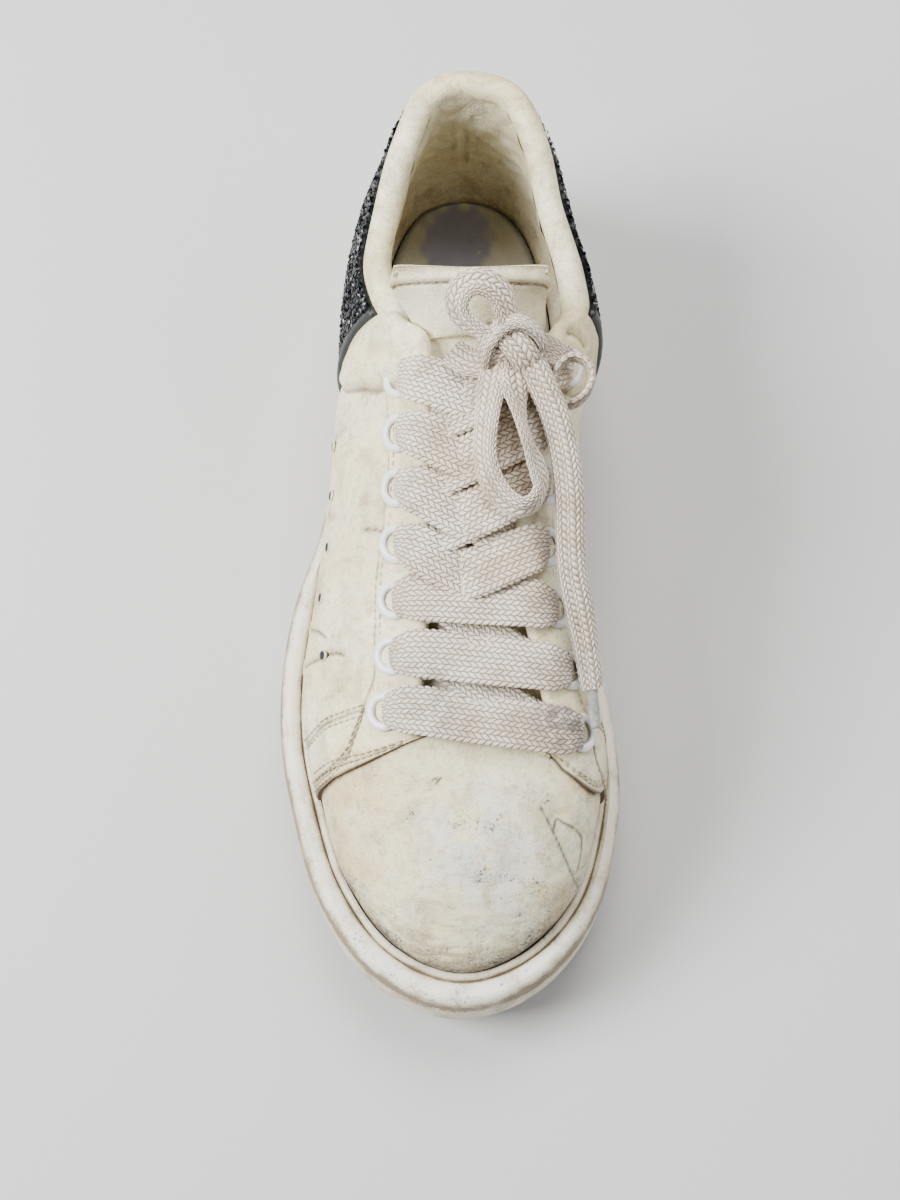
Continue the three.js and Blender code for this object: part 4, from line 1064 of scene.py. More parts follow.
# ---- eyelets ------------------------------------------------------------------------------------
# Fourteen rolled brass rings in white enamel, pressed through the facings, with dirt packed round
# each flange, painted shade down the inside of each ring, and a few chips.
eyelet_rows = 7
top_eyelet_y = {"outer": 37, "inner": 41.5}
eyelet_pitch_y = {"outer": 15.7, "inner": 17.4}
eyelet_inset = 8.3


def spread_over(u, v):
    """The leather's face as the CAD eyelets and laces know it, 1.6 mm over the last."""
    return base_point(u, v) + base_normal(u, v) * quarter_stand


def share_from_top(u, distance):
    v, length = 1.0, 0.0
    while length < distance:
        length += float(np.linalg.norm(spread_over(u, v) - spread_over(u, v - 0.005)))
        v -= 0.005
    return v


def bisect(side, reads_y, y, low_end):
    high, low = facing_top - 0.8, low_end
    if side == "inner":
        high, low = count - high, count - low
    for _ in range(24):
        middle = (high + low) / 2
        if reads_y(middle) > y:
            high = middle
        else:
            low = middle
    return (high + low) / 2


def eyelet_spot(side, row):
    y = top_eyelet_y[side] - row * eyelet_pitch_y[side]
    u = bisect(side, lambda at: spread_over(at, share_from_top(at, eyelet_inset))[1], y,
               quarter_front + 0.5)
    v = share_from_top(u, eyelet_inset)
    return {"side": side, "u": u, "v": v, "point": spread_over(u, v), "normal": base_normal(u, v)}


eyelets = {side: [eyelet_spot(side, row) for row in range(eyelet_rows)] for side in ("outer", "inner")}
ring_sides = 40


def turned_ring(centre, axis, profile, sides=ring_sides):
    """A lathe ring: profile is radius and height along the axis, closed on itself."""
    side = unit(np.cross(axis, [0.13, 0.9, 0.4]))
    up = np.cross(axis, side)
    turn = np.linspace(0, 2 * math.pi, sides, endpoint=False)
    profile = np.asarray(profile, float)
    ring = (centre + profile[None, :, :1]
            * (np.cos(turn)[:, None, None] * side + np.sin(turn)[:, None, None] * up)
            + profile[None, :, 1:] * axis)
    return ring.reshape(-1, 3), grid_faces(sides, len(profile), True, True)[:, ::-1].tolist()


ring_profile = [
    (5.85, 0.62), (5.75, 1.05), (5.35, 1.5), (4.75, 1.78), (4.1, 1.8), (3.55, 1.55),
    (3.25, 1.05), (3.15, 0.3), (3.15, -2.8), (3.8, -2.8), (3.8, 0.5),
]
ring_parts = []
for side in ("outer", "inner"):
    for row, spot_at in enumerate(eyelets[side]):
        ring_parts.append(turned_ring(spot_at["point"], spot_at["normal"], ring_profile))
ring_points, ring_faces = joined(ring_parts)
# Painted shade down the inside of each ring, and dirt round the foot of its flange.
ring_shade_and_dirt = np.tile([0.8, 0.25, 0, 0, 0, 0.15, 0.5, 1, 1, 1, 0.8], 2 * eyelet_rows * ring_sides)
enamel, tree, shader = start_material("eyelet_enamel", 0.3)
spot = place_in_mm(tree)
enamel_tone = tint(tree, noise(tree, spot, 0.3, 3.0), (0.74, 0.75, 0.76, 1), (0.83, 0.84, 0.85, 1))
enamel_dirt_and_shade = put_group(tree, patchy_dirt_and_shade, Place=spot, Amount=mask(tree, "grime_and_shade"), Patch=1.5)
enamel_tone = tint(tree, times(tree, enamel_dirt_and_shade, 0.85), enamel_tone, (0.10, 0.075, 0.05, 1))
chips = put_group(tree, specks, Place=spot, Scale=0.9, Amount=0.12)
enamel_tone = tint(tree, times(tree, chips, 0.6), enamel_tone, (0.2, 0.17, 0.13, 1))
link(tree, enamel_tone, shader, "Base Color")
link(tree, ramp(tree, noise(tree, spot, 0.6, 4.0), 0.35, 0.65, 0.22, 0.42), shader, "Roughness")
shader.inputs["Coat Weight"].default_value = 0.25
link(tree, bump(tree, noise(tree, spot, 0.8, 3.0), 0.1, 0.4), shader, "Normal")
rings = make_piece("eyelet_rings", ring_points, ring_faces, enamel, "eyelet_enamel", {"grime_and_shade": ring_shade_and_dirt})
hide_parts(*[f"eyelet_{side}_{row + 1}" for side in ("outer", "inner")
                     for row in range(eyelet_rows)])

# ---- stitches and vent holes --------------------------------------------------------------------
# Waxed thread, ten stitches to the inch, sunk a little in the leather, and five punched vent holes
# on the little-toe side, their walls and middles painted dark for the shade in each hole.
stitch_length = 1.9
stitch_swell = np.sqrt(np.clip(1 - np.linspace(-0.94, 0.94, 6)**2, 0.05, 1))


def stitch_row(path, normals, starts, lifts, width):
    """Small sunk beads of thread along a path: points and faces of each."""
    run = run_along(path)
    parts = []
    for start in starts:
        at = np.linspace(start, start + stitch_length, 6)
        bead = np.stack([np.interp(at, run, path[:, k]) for k in range(3)], 1)
        normal = unit(np.stack([np.interp(at, run, normals[:, k]) for k in range(3)], 1))
        parts.append(rope(bead + normal * lifts, normal, width * stitch_swell, 0.26 * stitch_swell,
                          sides=6))
    return parts


def stitch_line(line):
    """Stitches along a line of stations and shares on a quarter."""
    path = on_leather(line, quarter_stand)
    spots = smooth_line(line)
    starts = np.arange(0.4, run_along(path)[-1] - stitch_length, 2.5)
    return stitch_row(path, base_normal(spots[:, 0], spots[:, 1]), starts,
                      (0.3 + 0.12 * stitch_swell)[:, None], 0.34)


def shifted(line, du=0.0, dv=0.0):
    return [(u + du, v + dv) for u, v in line]


edge_line_outer = [(u - 0.16, v) for v, u in zip(edge_share[1:-1], outer_edge[1:-1])]
edge_line_inner = [(u + 0.16, v) for v, u in zip(inner_edge_share[1:-1], inner_edge[1:-1])]
stitch_parts = []
for row_line in (
        edge_line_outer, shifted(edge_line_outer, -0.11),
        edge_line_inner, shifted(edge_line_inner, 0.11),
        shifted(hooked_seam[:-1], -0.07), shifted(hooked_seam[:-1], 0.07),
        shifted(toe_seam[:-1], -0.07), shifted(toe_seam[:-1], 0.07),
        mirrored(shifted(hooked_seam[:-1], -0.07)), mirrored(shifted(toe_seam[:-1], 0.07)),
        shifted(facing_seam, 0, 0.03), mirrored(shifted(facing_seam, 0, 0.03))):
    stitch_parts += stitch_line(row_line)
tongue_stitch_row = int(np.argmin(abs(from_top[:, 0] - stitch_down)))
tongue_path = tongue_face[tongue_stitch_row]
tongue_starts = np.arange(1.5, run_along(tongue_path)[-1] - 3, 2.6)
stitch_parts += stitch_row(tongue_path, tongue_normal[tongue_stitch_row], tongue_starts, 0.15, 0.32)
thread, tree, shader = start_material("waxed_thread", 0.6)
spot = place_in_mm(tree)
thread_tone = tint(tree, ramp(tree, noise(tree, spot, 0.12, 4.0), 0.35, 0.65), (0.30, 0.235, 0.15, 1),
                   (0.58, 0.53, 0.41, 1))
link(tree, thread_tone, shader, "Base Color")
link(tree, bump(tree, noise(tree, spot, 4.0, 2.0), 0.1, 0.6), shader, "Normal")
link(tree, ramp(tree, noise(tree, spot, 0.9), 0.3, 0.7, 0.5, 0.7), shader, "Roughness")
make_piece("stitches", *joined(stitch_parts), thread, "upper_leather")

vent_sides = 24
vent_profile = [
    (1.8, -0.1), (1.62, 0.3), (1.42, 0.34), (1.25, 0.22),
    (1.1, 0.1), (0.3, 0.02), (0.03, 0.0), (1.8, -0.6),
]
vent_parts = []
for vent_u, vent_v in vent_spots:
    centre = spread_over(vent_u, vent_v)
    vent_parts.append(turned_ring(centre, base_normal(vent_u, vent_v), vent_profile, vent_sides))
vent_hole_shade = np.tile([0, 0.2, 0.6, 1, 1, 1, 1, 1], len(vent_spots) * vent_sides)
vent_leather, tree, shader = start_material("vent_edges", 0.6)
spot = place_in_mm(tree)
vent_tone = tint(tree, noise(tree, spot, 0.4, 3.0), (0.62, 0.57, 0.45, 1), (0.70, 0.67, 0.57, 1))
# Painted shade: near black where the hole goes down into the shoe.
vent_tone = tint(tree, mask(tree, "depth"), vent_tone, (0.012, 0.009, 0.007, 1))
link(tree, vent_tone, shader, "Base Color")
link(tree, bump(tree, noise(tree, spot, 1.5, 3.0), 0.1, 0.5), shader, "Normal")
make_piece("vent_holes", *joined(vent_parts), vent_leather, "upper_leather", {"depth": vent_hole_shade})

# ---- laces --------------------------------------------------------------------------------------
# Wide flat cotton braid, 15 mm across and 2 mm thick, nine rows of slanting plaits on each face.
# Rows one to four cross, five to seven run straight over slanting runs; worn grey where it rubs.
lace_width = 15
lace_thick = 2
plait_row = 1.6
plait_pitch = 2.05


def plait_height(along, across):
    """Height of the braid's plaits, 0 to 1, at millimetres along and across the flat lace."""
    row = np.floor(across / plait_row)
    x = across / plait_row - row - 0.5
    slant = np.where(row % 2 == 0, 1.0, -1.0)
    phase = along / plait_pitch + slant * x * 0.75 + 0.5 * (row % 2)
    y = 2 * (phase - np.floor(phase)) - 1
    return np.sqrt(np.clip(1 - y * y, 0, 1)) * (1 - 0.75 * (2 * x)**4)


def flowing(points, per_part=24):
    """Centripetal Catmull-Rom through points; gives the curve and each point's place among the knots."""
    points = np.asarray(points, float)
    padded = np.concatenate([[2 * points[0] - points[1]], points, [2 * points[-1] - points[-2]]])
    curve, places = [], []
    for i in range(len(points) - 1):
        a, b, c, d = padded[i:i + 4]
        ta = 0.0
        tb = ta + max(np.linalg.norm(b - a), 1e-6)**0.5
        tc = tb + max(np.linalg.norm(c - b), 1e-6)**0.5
        td = tc + max(np.linalg.norm(d - c), 1e-6)**0.5
        last_part = i == len(points) - 2
        steps = per_part + 1 if last_part else per_part
        t = np.linspace(tb, tc, steps, endpoint=last_part)[:, None]
        ab = a + (b - a) * (t - ta) / (tb - ta)
        bc = b + (c - b) * (t - tb) / (tc - tb)
        cd = c + (d - c) * (t - tc) / (td - tc)
        abc = ab + (bc - ab) * (t - ta) / (tc - ta)
        bcd = bc + (cd - bc) * (t - tb) / (td - tb)
        curve.append(abc + (bcd - abc) * (t - tb) / (tc - tb))
        places.append(i + (t[:, 0] - tb) / (tc - tb))
    return np.concatenate(curve), np.concatenate(places)


def lace(knots, step=0.5, across=30, thick=lace_thick, shape="flat", start=0.0, wave=0.25, seed=0):
    """A length of lace through knots of place, upper side and width.  Gives its points, faces, braid
    coordinates and middle line."""
    places = np.array([k[0] for k in knots], float)
    curve, at = flowing(places)
    run = run_along(curve)
    steps = max(8, int(run[-1] / step))
    s = np.linspace(0, run[-1], steps)
    path = np.stack([np.interp(s, run, curve[:, k]) for k in range(3)], 1)
    knot_at = np.interp(s, run, at)
    ups = np.array([k[1] for k in knots], float)
    index = np.arange(len(knots))
    up = unit(np.stack([np.interp(knot_at, index, ups[:, k]) for k in range(3)], 1))
    widths = np.array([k[2] for k in knots], float)
    floor_at = np.minimum(np.floor(knot_at).astype(int), len(knots) - 2)
    smooth_part = ease(0, 1, knot_at - floor_at)
    width = widths[floor_at] * (1 - smooth_part) + widths[floor_at + 1] * smooth_part
    tangent = unit(np.gradient(path, axis=0))
    side = unit(np.cross(tangent, up))
    up = np.cross(side, tangent)
    half = width[:, None] / 2
    if shape == "flat":
        x = np.sin(np.linspace(-math.pi / 2, math.pi / 2, across))
        x = 0.55 * x + 0.45 * np.linspace(-1, 1, across)
        loop_x = np.concatenate([x, x[::-1][1:-1]])
        face = np.concatenate([np.ones(across), -np.ones(across - 2)])
        edge_shape = (1 - np.abs(loop_x)**5)**0.5
        sag = wave * np.sin(s / 7.0 + seed)[:, None] * (loop_x[None] ** 2 - 0.4)
        height = face * edge_shape * (thick / 2 - 0.25)
        flat_across = loop_x * lace_width / 2
        out_x = half * loop_x[None]
        out_z = height[None] + sag
    else:
        # Folded on itself along its length, with the slit on one side.
        turn = np.linspace(0, 2 * math.pi, 2 * across - 2, endpoint=False)
        slit_turn = {"gutter": 1.05, "fold": math.pi / 2}[shape]
        apart = (turn - slit_turn + math.pi) % (2 * math.pi) - math.pi
        slit = np.exp(-(apart / 0.2)**2) * (0.5 if shape == "gutter" else 0.32)
        radius = 1 - slit
        out_x = half * (np.sign(np.cos(turn)) * abs(np.cos(turn))**0.8 * radius)[None]
        out_z = (thick / 2) * (np.sign(np.sin(turn)) * abs(np.sin(turn))**0.8 * radius)[None] + 0 * half
        loop_x = turn / math.pi - 1
        flat_across = loop_x * lace_width * (1.0 if shape == "gutter" else 0.9)
    braid_s = (s + start)[:, None] + 0 * flat_across[None]
    braid_t = flat_across[None] + 0 * s[:, None] + 90
    plaits = plait_height(braid_s, braid_t)
    size = len(loop_x)
    frame_point = path[:, None] + side[:, None] * out_x[..., None] + up[:, None] * out_z[..., None]
    around_step = np.roll(frame_point, -1, 1) - np.roll(frame_point, 1, 1)
    normal = np.cross(np.broadcast_to(tangent[:, None], around_step.shape), around_step)
    length = np.linalg.norm(normal, axis=-1, keepdims=True)
    normal = -normal / np.maximum(length, 1e-9)
    toward = np.sum(normal * (frame_point - path[:, None]), -1, keepdims=True)
    normal = np.where(np.sum(toward) < 0, -normal, normal)
    points = frame_point + normal * (0.62 * plaits - 0.3)[..., None]
    faces = grid_faces(steps, size, round_columns=True).tolist()
    faces.append(list(range(size))[::-1])
    faces.append(list(range((steps - 1) * size, steps * size)))
    braid = np.stack([braid_s, braid_t], -1).reshape(-1, 2)
    return points.reshape(-1, 3), faces, braid, path


def rubbed_grey(points):
    """Share of dirt: most by the lowest eyelet of the big-toe side, some down the middle and the toe."""
    x, y = points[:, 0], points[:, 1]
    rubbed = np.exp(-(((x - 33) / 10)**2 + ((y + 62) / 8)**2))
    rubbed = rubbed + 0.35 * np.exp(-(((x + 2) / 5)**2 + ((y + 52) / 22)**2))
    low = 0.5 * ease(-20, -60, y)
    return np.clip(rubbed + 0.35 * low, 0, 1)


# The plaits' own fine yarns, drawn from the lace's braid coordinates.
plait, yarn_in, yarn_out = start_group("plait_yarns", [("Braid", VECTOR)], [("Height", FLOAT)])
braid_parts = node(plait, "ShaderNodeSeparateXYZ", {0: yarn_in.outputs["Braid"]})
braid_row = maths(plait, "DIVIDE", braid_parts.outputs[1], plait_row)
braid_row_floor = maths(plait, "FLOOR", braid_row)
braid_x = maths(plait, "SUBTRACT", maths(plait, "SUBTRACT", braid_row, braid_row_floor), 0.5)
braid_odd = maths(plait, "MODULO", braid_row_floor, 2.0)
braid_slant = maths(plait, "SUBTRACT", 1.0, times(plait, braid_odd, 2.0))
braid_lean = times(plait, times(plait, braid_slant, braid_x), 0.75)
braid_phase = plus(plait, maths(plait, "DIVIDE", braid_parts.outputs[0], plait_pitch),
                   plus(plait, braid_lean, times(plait, braid_odd, 0.5)))
braid_y = times(plait, maths(plait, "FRACT", braid_phase), 2.0)
braid_y = maths(plait, "SUBTRACT", braid_y, 1.0)
plait_dome = maths(plait, "SUBTRACT", 1.0, times(plait, braid_y, braid_y))
plait_dome = maths(plait, "SQRT", plait_dome)
plait_side = maths(plait, "POWER", maths(plait, "ABSOLUTE", times(plait, braid_x, 2.0)), 4.0)
plait_round = times(plait, plait_dome, maths(plait, "SUBTRACT", 1.0, times(plait, plait_side, 0.75)))
yarn_lines = maths(plait, "SINE", times(plait, braid_y, 9.0))
plait.links.new(plus(plait, plait_round, times(plait, yarn_lines, 0.07)), yarn_out.inputs["Height"])

cotton, tree, shader = start_material("lace_cotton", 0.92)
spot = place_in_mm(tree)
braid_map = node(tree, "ShaderNodeUVMap", uv_map="along").outputs[0]
yarn_height = put_group(tree, plait, Braid=braid_map)
cotton_tone = tint(tree, ramp(tree, noise(tree, spot, 0.05, 4.0), 0.35, 0.65), (0.78, 0.645, 0.50, 1),
                   (0.90, 0.80, 0.67, 1))
cotton_tone = tint(tree, ramp(tree, noise(tree, spot, 0.12, 5.0, 0.7), 0.45, 0.66, 0, 0.6), cotton_tone,
                   (0.47, 0.37, 0.26, 1))
cotton_tone = tint(tree, ramp(tree, noise(tree, spot, 0.9, 5.0, 0.7), 0.45, 0.75, 0, 0.45), cotton_tone,
                   (0.45, 0.37, 0.28, 1))
# Painted shade in the dips between the plaits.
plait_gap_shade = times(tree, ramp(tree, yarn_height, 0.98, 0.05), 0.9)
cotton_tone = tint(tree, plait_gap_shade, cotton_tone, (0.17, 0.12, 0.08, 1))
rub_share = times(tree, mask(tree, "rubbed"), ramp(tree, noise(tree, spot, 0.3, 5.0, 0.6), 0.3, 0.6))
cotton_tone = tint(tree, times(tree, rub_share, 0.8), cotton_tone, (0.12, 0.11, 0.10, 1))
link(tree, cotton_tone, shader, "Base Color")
link(tree, ramp(tree, noise(tree, spot, 1.3), 0.3, 0.7, 0.85, 0.98), shader, "Roughness")
shader.inputs["Sheen Weight"].default_value = 0.25
shader.inputs["Sheen Roughness"].default_value = 0.5
fuzz = plus(tree, yarn_height, times(tree, noise(tree, spot, 3.5, 3.0), 0.35))
link(tree, bump(tree, fuzz, 0.5, 1.0), shader, "Normal")


def lace_piece(name, runs):
    """Lengths of lace as one piece."""
    points, faces = joined([(run[0], run[1]) for run in runs])
    braid = np.concatenate([run[2] for run in runs])
    return make_piece(name, points, faces, cotton, "lace_cotton", {"rubbed": rubbed_grey(points)}, uv=braid)


lace_seat = 2 + gap + lace_thick / 2
lace_lift = 2.9
straight_up = np.array([0, 0, 1.0])


def throat_station(side, y):
    return bisect(side, lambda at: spread_over(at, 1.0)[1], y, quarter_front)


def seat_knots(spot_at):
    """Up through the eyelet, then flat over its inner rim."""
    point, normal = spot_at["point"], spot_at["normal"]
    inward = unit(np.array([-1.0 if spot_at["side"] == "inner" else 1.0, 0, 0.35]))
    return [(point - normal * 2.6, unit(normal - 1.2 * inward), 5.4),
            (point + normal * 0.9 + inward * 0.4, unit(normal - 0.7 * inward), 6.6),
            (point + normal * (lace_seat - 0.5) + inward * 2.6, normal, 10.5)]


def edge_knot(spot_at, drop=0.0, width=lace_width - 1):
    u = throat_station(spot_at["side"], spot_at["point"][1] - drop)
    normal = base_normal(u, 1.0)
    return (spread_over(u, 1.0) + normal * lace_lift, unit((normal + straight_up) / 2), width)


def tail_knots(side, y):
    """Down between facing and tongue, just inside the throat's edge, and on under the facing."""
    edge = spread_over(throat_station(side, y), 1.0)
    inwards = 1 if side == "outer" else -1
    return [(edge + np.array([inwards * 6, 0, 1.7]), straight_up, lace_width - 3),
            (edge + np.array([inwards * 1.5, -0.5, -0.9]), straight_up, lace_width - 5)]


crossed_rows = 4
lace_runs = []
for row in range(eyelet_rows):
    pair_at = [eyelets["outer"][row], eyelets["inner"][row]]
    if row < crossed_rows:
        for k, spot_at in enumerate(pair_at):
            other = "inner" if k == 0 else "outer"
            following = eyelets[other if k == 0 else "outer"][row + 1]
            edge = edge_knot(spot_at, 2)
            tail = tail_knots(other, following["point"][1] + 1.5)
            middle = (edge[0] + tail[0][0]) / 2 + np.array([0, 0, 0.6 + 1.7 * k])
            knots = [*seat_knots(spot_at), edge, (middle, straight_up, lace_width), *tail]
            lace_runs.append(lace(knots, start=31.0 * row + 13 * k, seed=row * 2 + k))
    else:
        edges = [edge_knot(spot_at) for spot_at in pair_at]
        middle = (edges[0][0] + edges[1][0]) / 2 + np.array([0, 0, 1.6])
        knots = [*seat_knots(pair_at[0]), edges[0], (middle, straight_up, lace_width), edges[1],
                 *seat_knots(pair_at[1])[::-1]]
        lace_runs.append(lace(knots, start=31.0 * row, seed=row * 2))
    if crossed_rows <= row < eyelet_rows - 1:
        under = [tail_knots("outer", eyelets["outer"][row]["point"][1] - 2)[0],
                 tail_knots("inner", eyelets["inner"][row + 1]["point"][1] + 2)[0]]
        under = [(under[0][0] + np.array([-4.5, 0, -1.4]), *under[0][1:]), *under,
                 (under[1][0] + np.array([4.5, 0, -1.4]), *under[1][1:])]
        lace_runs.append(lace(under, across=20, start=17.0 * row))
# The slack that stands out beside the top inner eyelet.
slack = [
    (30.2, 33.5, 104.6), (31.6, 37.0, 107.2), (35.2, 39.6, 108.0), (39.2, 38.4, 107.6),
    (41.2, 34.6, 106.2), (39.8, 30.2, 104.6), (36.2, 27.4, 103.0), (32.6, 27.2, 101.6),
]
slack_middle = np.mean(slack, axis=0)
lace_runs.append(lace([(np.array(p), unit(np.array(p) - slack_middle) * [1, 1, 0.3], 6.0) for p in slack],
                      across=20, thick=2.0))
crossings = lace_piece("lace_crossings_braid", lace_runs)
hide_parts("lace_crossings")

# ---- bow ----------------------------------------------------------------------------------------
# The lace is folded along its length where it is tied: a standing loop behind the knot, a long loop
# hanging in front of it, and one end that runs down over the inner facing to its film tip.
def on_edge(points, axis, width, lean):
    """Knots of a band that stands on edge round the axis of its loop, leaning over by degrees."""
    points = np.array(points, float)
    axis = unit(np.array(axis, float))
    out = points - points.mean(0)
    out = unit(out - (out @ axis)[:, None] * axis)
    lean = np.interp(np.linspace(0, 1, len(points)), np.linspace(0, 1, len(lean)), lean)
    lean = np.radians(lean)[:, None]
    return [(p, o, width) for p, o in zip(points, out * np.cos(lean) + axis * np.sin(lean))]


outer_lead = [(1, 41.5, 107.2), (6, 37.5, 109.2), (11, 36.5, 111), (15, 38.0, 113.2)]
standing_route = [
    (16.5, 43, 118), (16.3, 47.5, 120.5), (14.6, 52, 123.2), (11, 54.4, 125.3), (6.5, 54.6, 126),
    (3.3, 52.6, 124.6), (2.2, 49.4, 121.8), (4, 46.4, 119.4), (8, 44, 117.8), (13, 41.8, 116.8),
]
hanging_route = [
    (13.6, 37, 113), (11.8, 27, 111.8), (10.6, 18, 109.8), (10.3, 9.5, 108.2), (12, 3, 106.6),
    (15.6, -2, 105.5), (20.3, -4.6, 105), (24, -3, 105), (26, 1.5, 105.4), (25.2, 6.5, 106.8),
    (22.8, 12, 109), (20.6, 18.5, 110.8), (19, 26.5, 112.2), (18.4, 36, 113.4),
]
end_route = [
    (22.6, 38, 113.4), (26, 31, 111.4), (29.4, 24, 109), (32, 16, 106.2), (33.7, 7, 103.6),
    (34.6, -2.5, 100.6), (34.8, -12, 97.2), (35.6, -21.4, 93.2), (37.7, -30.5, 88.6), (39.9, -41, 83.4),
    (41.5, -51, 78.9),
]


def facing_up(route, width):
    return [(np.array(p, float), straight_up, width) for p in route]


standing_knots = on_edge(standing_route, (0, -0.6, 0.8), 8.6, [30, 42, 45, 45, 38, 25])
lead_knots = facing_up(outer_lead, 8.5)
standing_run = lace(lead_knots + standing_knots, thick=2.6, shape="fold", wave=0, step=0.4, across=36)
standing_loop = lace_piece("bow_standing_loop", [standing_run])
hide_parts("lace_loop_standing")

hanging_knots = on_edge(hanging_route, (0, -0.25, 0.97), 9.0, [32, 34, 34, 26, 12, 6, 8])
hanging_run = lace(hanging_knots, thick=2.5, shape="fold", wave=0, step=0.4, across=36)
hanging_loop = lace_piece("bow_hanging_loop", [hanging_run])
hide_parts("lace_loop_hanging")

end_up = (0.35, 0, 0.94)
end_knots = [(np.array(p, float), end_up, 6.2 if i > 9 else 7.2 if i > 8 else 8.5)
             for i, p in enumerate(end_route)]
end_run = lace(end_knots, thick=4.0, shape="gutter", wave=0, step=0.4, across=36)
free_end = lace_piece("bow_free_end", [end_run])
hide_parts("lace_end")

tip_steps = 24
tip_path = np.linspace((41.4, -50.2, 79.1), (42.8, -62, 74.4), tip_steps)
tip_place = np.linspace(0, 1, tip_steps)
tip_width = 1.75 - 0.25 * tip_place + 0.12 * np.sin(tip_place * 14) * (1 - tip_place)
tip_width[0] *= 1.15
tip_width[-1] *= 0.75
tip_mesh = rope(tip_path, np.tile(end_up, (tip_steps, 1)), tip_width, tip_width * 0.8, sides=20)
tip_film, tree, shader = start_material("lace_tip_film", 0.32)
spot = place_in_mm(tree)
tip_tone = tint(tree, ramp(tree, noise(tree, spot, 0.35, 5.0, 0.65), 0.35, 0.65), (0.30, 0.30, 0.285, 1),
                (0.46, 0.46, 0.44, 1))
tip_specks = put_group(tree, specks, Place=spot, Scale=1.4, Amount=0.15)
tip_tone = tint(tree, times(tree, tip_specks, 0.7), tip_tone, (0.08, 0.07, 0.06, 1))
link(tree, tip_tone, shader, "Base Color")
link(tree, ramp(tree, noise(tree, spot, 0.8, 4.0), 0.35, 0.65, 0.22, 0.45), shader, "Roughness")
shader.inputs["Transmission Weight"].default_value = 0.25
tip_creases = noise(tree, place_in_mm(tree, (900, 260, 900)), 1.0, 3.0)
link(tree, bump(tree, tip_creases, 0.25, 0.6), shader, "Normal")
aglet = make_piece("lace_tip_film", *tip_mesh, tip_film, "lace_tip_film")
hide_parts("lace_tip")

wrap_route = [
    (10.2, 35.6, 110.5), (10.4, 37.0, 115.4), (11.6, 39.6, 119.0), (15.0, 43.0, 121.2),
    (19.4, 44.6, 121.0), (23.6, 43.6, 119.0), (26.4, 41.4, 115.6), (26.6, 39.6, 111.5),
]
knot_centre = np.array([18, 41, 114.5])


def facing_out(route, centre, width):
    """Knots of a lace along a route, each with its upper side turned away from a centre."""
    return [(np.array(p), unit(np.array(p) - centre), width) for p in route]


wrap_knots = facing_out(wrap_route, knot_centre, 5.2)
under_route = [(12.6, 44.6, 117.6), (15.6, 42.6, 118.6), (19.0, 39.4, 117.6), (21.6, 36.4, 114.8),
               (22.4, 35.4, 111.5)]
bundle_knots = facing_out(under_route, knot_centre - [0, 0, 6], 8.6)
back_route = [
    (9.6, 41.5, 112.5), (12.0, 46.5, 114.5), (17.5, 48.3, 115.2), (23.0, 46.6, 114.4),
    (26.2, 42.0, 112.5), (24.2, 37.0, 110.8), (18.5, 34.6, 109.8), (12.2, 36.2, 110.2),
]
back_knots = facing_out(back_route, knot_centre - [0, 0, 1], 7.5)
inner_lead = [(32, 39.5, 108), (29, 41, 110), (25, 42, 112), (20, 41, 114)]
inner_knots = facing_up(inner_lead, 8.0)
core_route = [(11.5, 40.5, 113.0), (15, 41, 114.2), (19, 41, 114.2), (24, 41, 112.8)]
core_knots = facing_up(core_route, 11.0)
knot_runs = [
    lace(wrap_knots, thick=2.6, shape="fold", wave=0, across=24),
    lace(bundle_knots, thick=5.0, shape="fold", wave=0, across=28, start=9),
    lace(back_knots, thick=2.6, shape="fold", wave=0, across=22, start=21),
    lace(core_knots, thick=8.0, shape="fold", wave=0, across=28, start=33),
    lace(inner_knots, thick=2.4, wave=0, across=24, start=40),
]
bow_knot = lace_piece("bow_knot", knot_runs)
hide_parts("lace_knot")

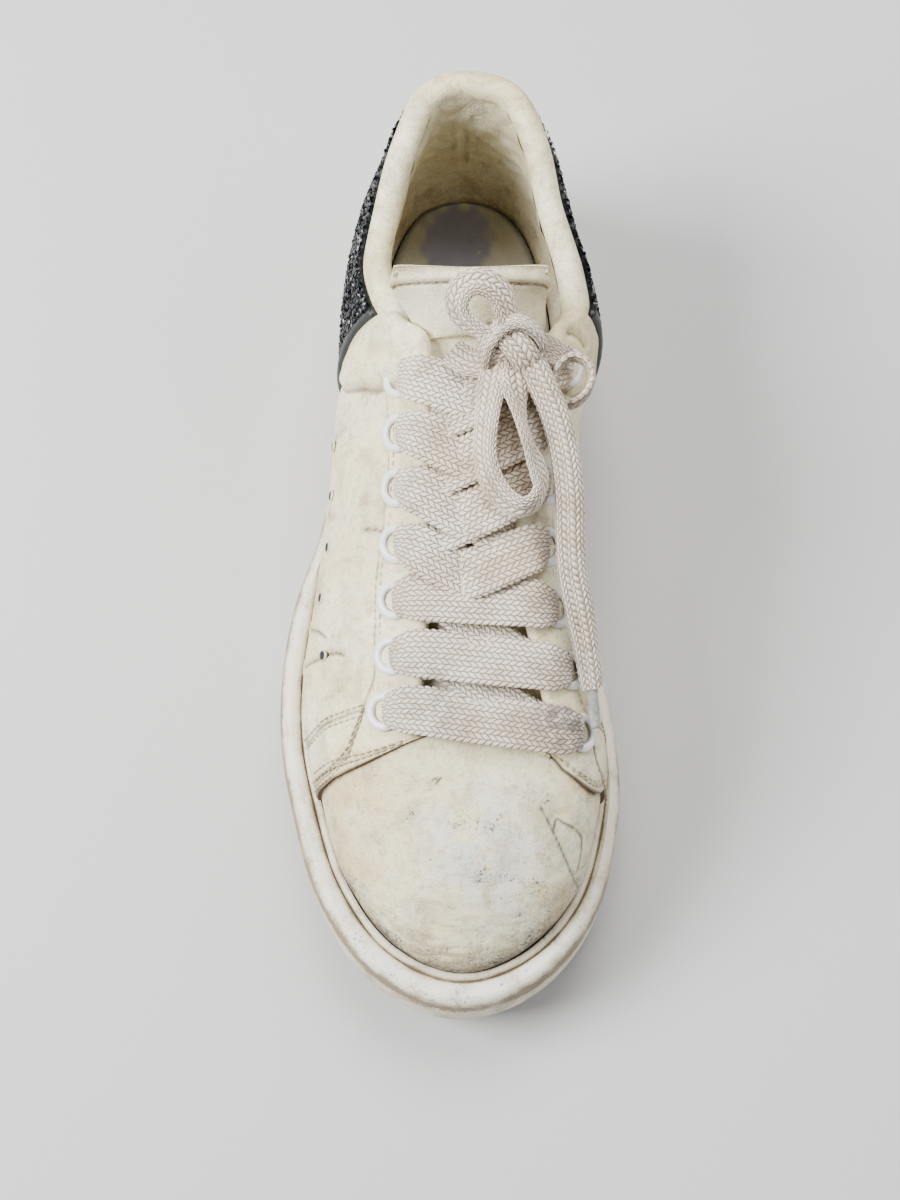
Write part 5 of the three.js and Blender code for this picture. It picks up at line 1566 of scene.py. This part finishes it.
# Loose fibres that stand up from the bow where it is handled most.
fuzz_draw = np.random.default_rng(5)
fibre_half = 0.045
fibre_parts = []
for run, fibres in ((standing_run, 150), (end_run, 60), (hanging_run, 50), (knot_runs[0], 50)):
    cloud, path = run[0], run[3]
    for pick in fuzz_draw.integers(0, len(cloud), fibres):
        root = cloud[pick]
        nearest = path[np.argmin(np.linalg.norm(path - root, axis=1))]
        way = unit(unit(root - nearest) + fuzz_draw.normal(0, 0.5, 3))
        curl = unit(np.cross(way, fuzz_draw.normal(0, 1, 3)))
        reach_out = fuzz_draw.uniform(0.7, 2.2)
        t = np.linspace(0, 1, 6)[:, None]
        fibre = root + way * reach_out * t + curl * reach_out * 0.45 * t**2
        beside = np.tile(np.cross(way, curl), (6, 1))
        fibre_parts.append(rope(fibre, beside, fibre_half, fibre_half, sides=3))
fibre_points, fibre_faces = joined(fibre_parts)
make_piece("loose_fibres", fibre_points, fibre_faces, cotton, "lace_cotton",
           uv=np.tile([0.9, 0.7], (len(fibre_points), 1)))

# ---- floor, light and camera --------------------------------------------------------------------
# A plain pale floor under soft studio light: a key from the left, a weaker fill from the right and a
# light over the heel.
floor_paint, tree, shader = start_material("floor_paint", 0.9)
shader.inputs["Base Color"].default_value = (0.55, 0.55, 0.55, 1)
floor_mesh = bpy.data.meshes.new("floor")
reach = 3.0
floor_mesh.from_pydata([(-reach, -reach, 0), (reach, -reach, 0), (reach, reach, 0), (-reach, reach, 0)],
                       [], [(0, 1, 2, 3)])
floor_mesh.materials.append(floor_paint)
floor = bpy.data.objects.new("floor", floor_mesh)
bpy.context.scene.collection.objects.link(floor)


def soft_light(name, place, target, size, power):
    lamp = bpy.data.lights.new(name, "AREA")
    lamp.size = size
    lamp.energy = power
    holder = bpy.data.objects.new(name, lamp)
    holder.location = place
    holder.rotation_euler = (Vector(target) - Vector(place)).to_track_quat("-Z", "Y").to_euler()
    bpy.context.scene.collection.objects.link(holder)


soft_light("key", (-0.75, -0.05, 0.85), (0, 0, 0.05), 0.5, 27.0)
soft_light("fill", (0.9, 0.1, 0.9), (0, 0, 0.05), 0.9, 6.2)
soft_light("top", (0.05, 0.55, 1.1), (0, 0.02, 0.05), 0.6, 15.0)
world = bpy.data.worlds.new("studio")
world.use_nodes = True
world.node_tree.nodes["Background"].inputs[0].default_value = (1.0, 0.985, 0.95, 1)
world.node_tree.nodes["Background"].inputs[1].default_value = 0.32
bpy.context.scene.world = world

# The camera stands over the toe and looks down and back along the shoe, upright in the frame.
camera_data = bpy.data.cameras.new("camera")
camera_data.lens = 52
camera_data.sensor_width = 36
camera = bpy.data.objects.new("camera", camera_data)
camera.location = (0.00043, -0.1565, 0.5701)
camera.rotation_euler = (math.radians(15.02), 0, 0)
bpy.context.scene.collection.objects.link(camera)
bpy.context.scene.camera = camera
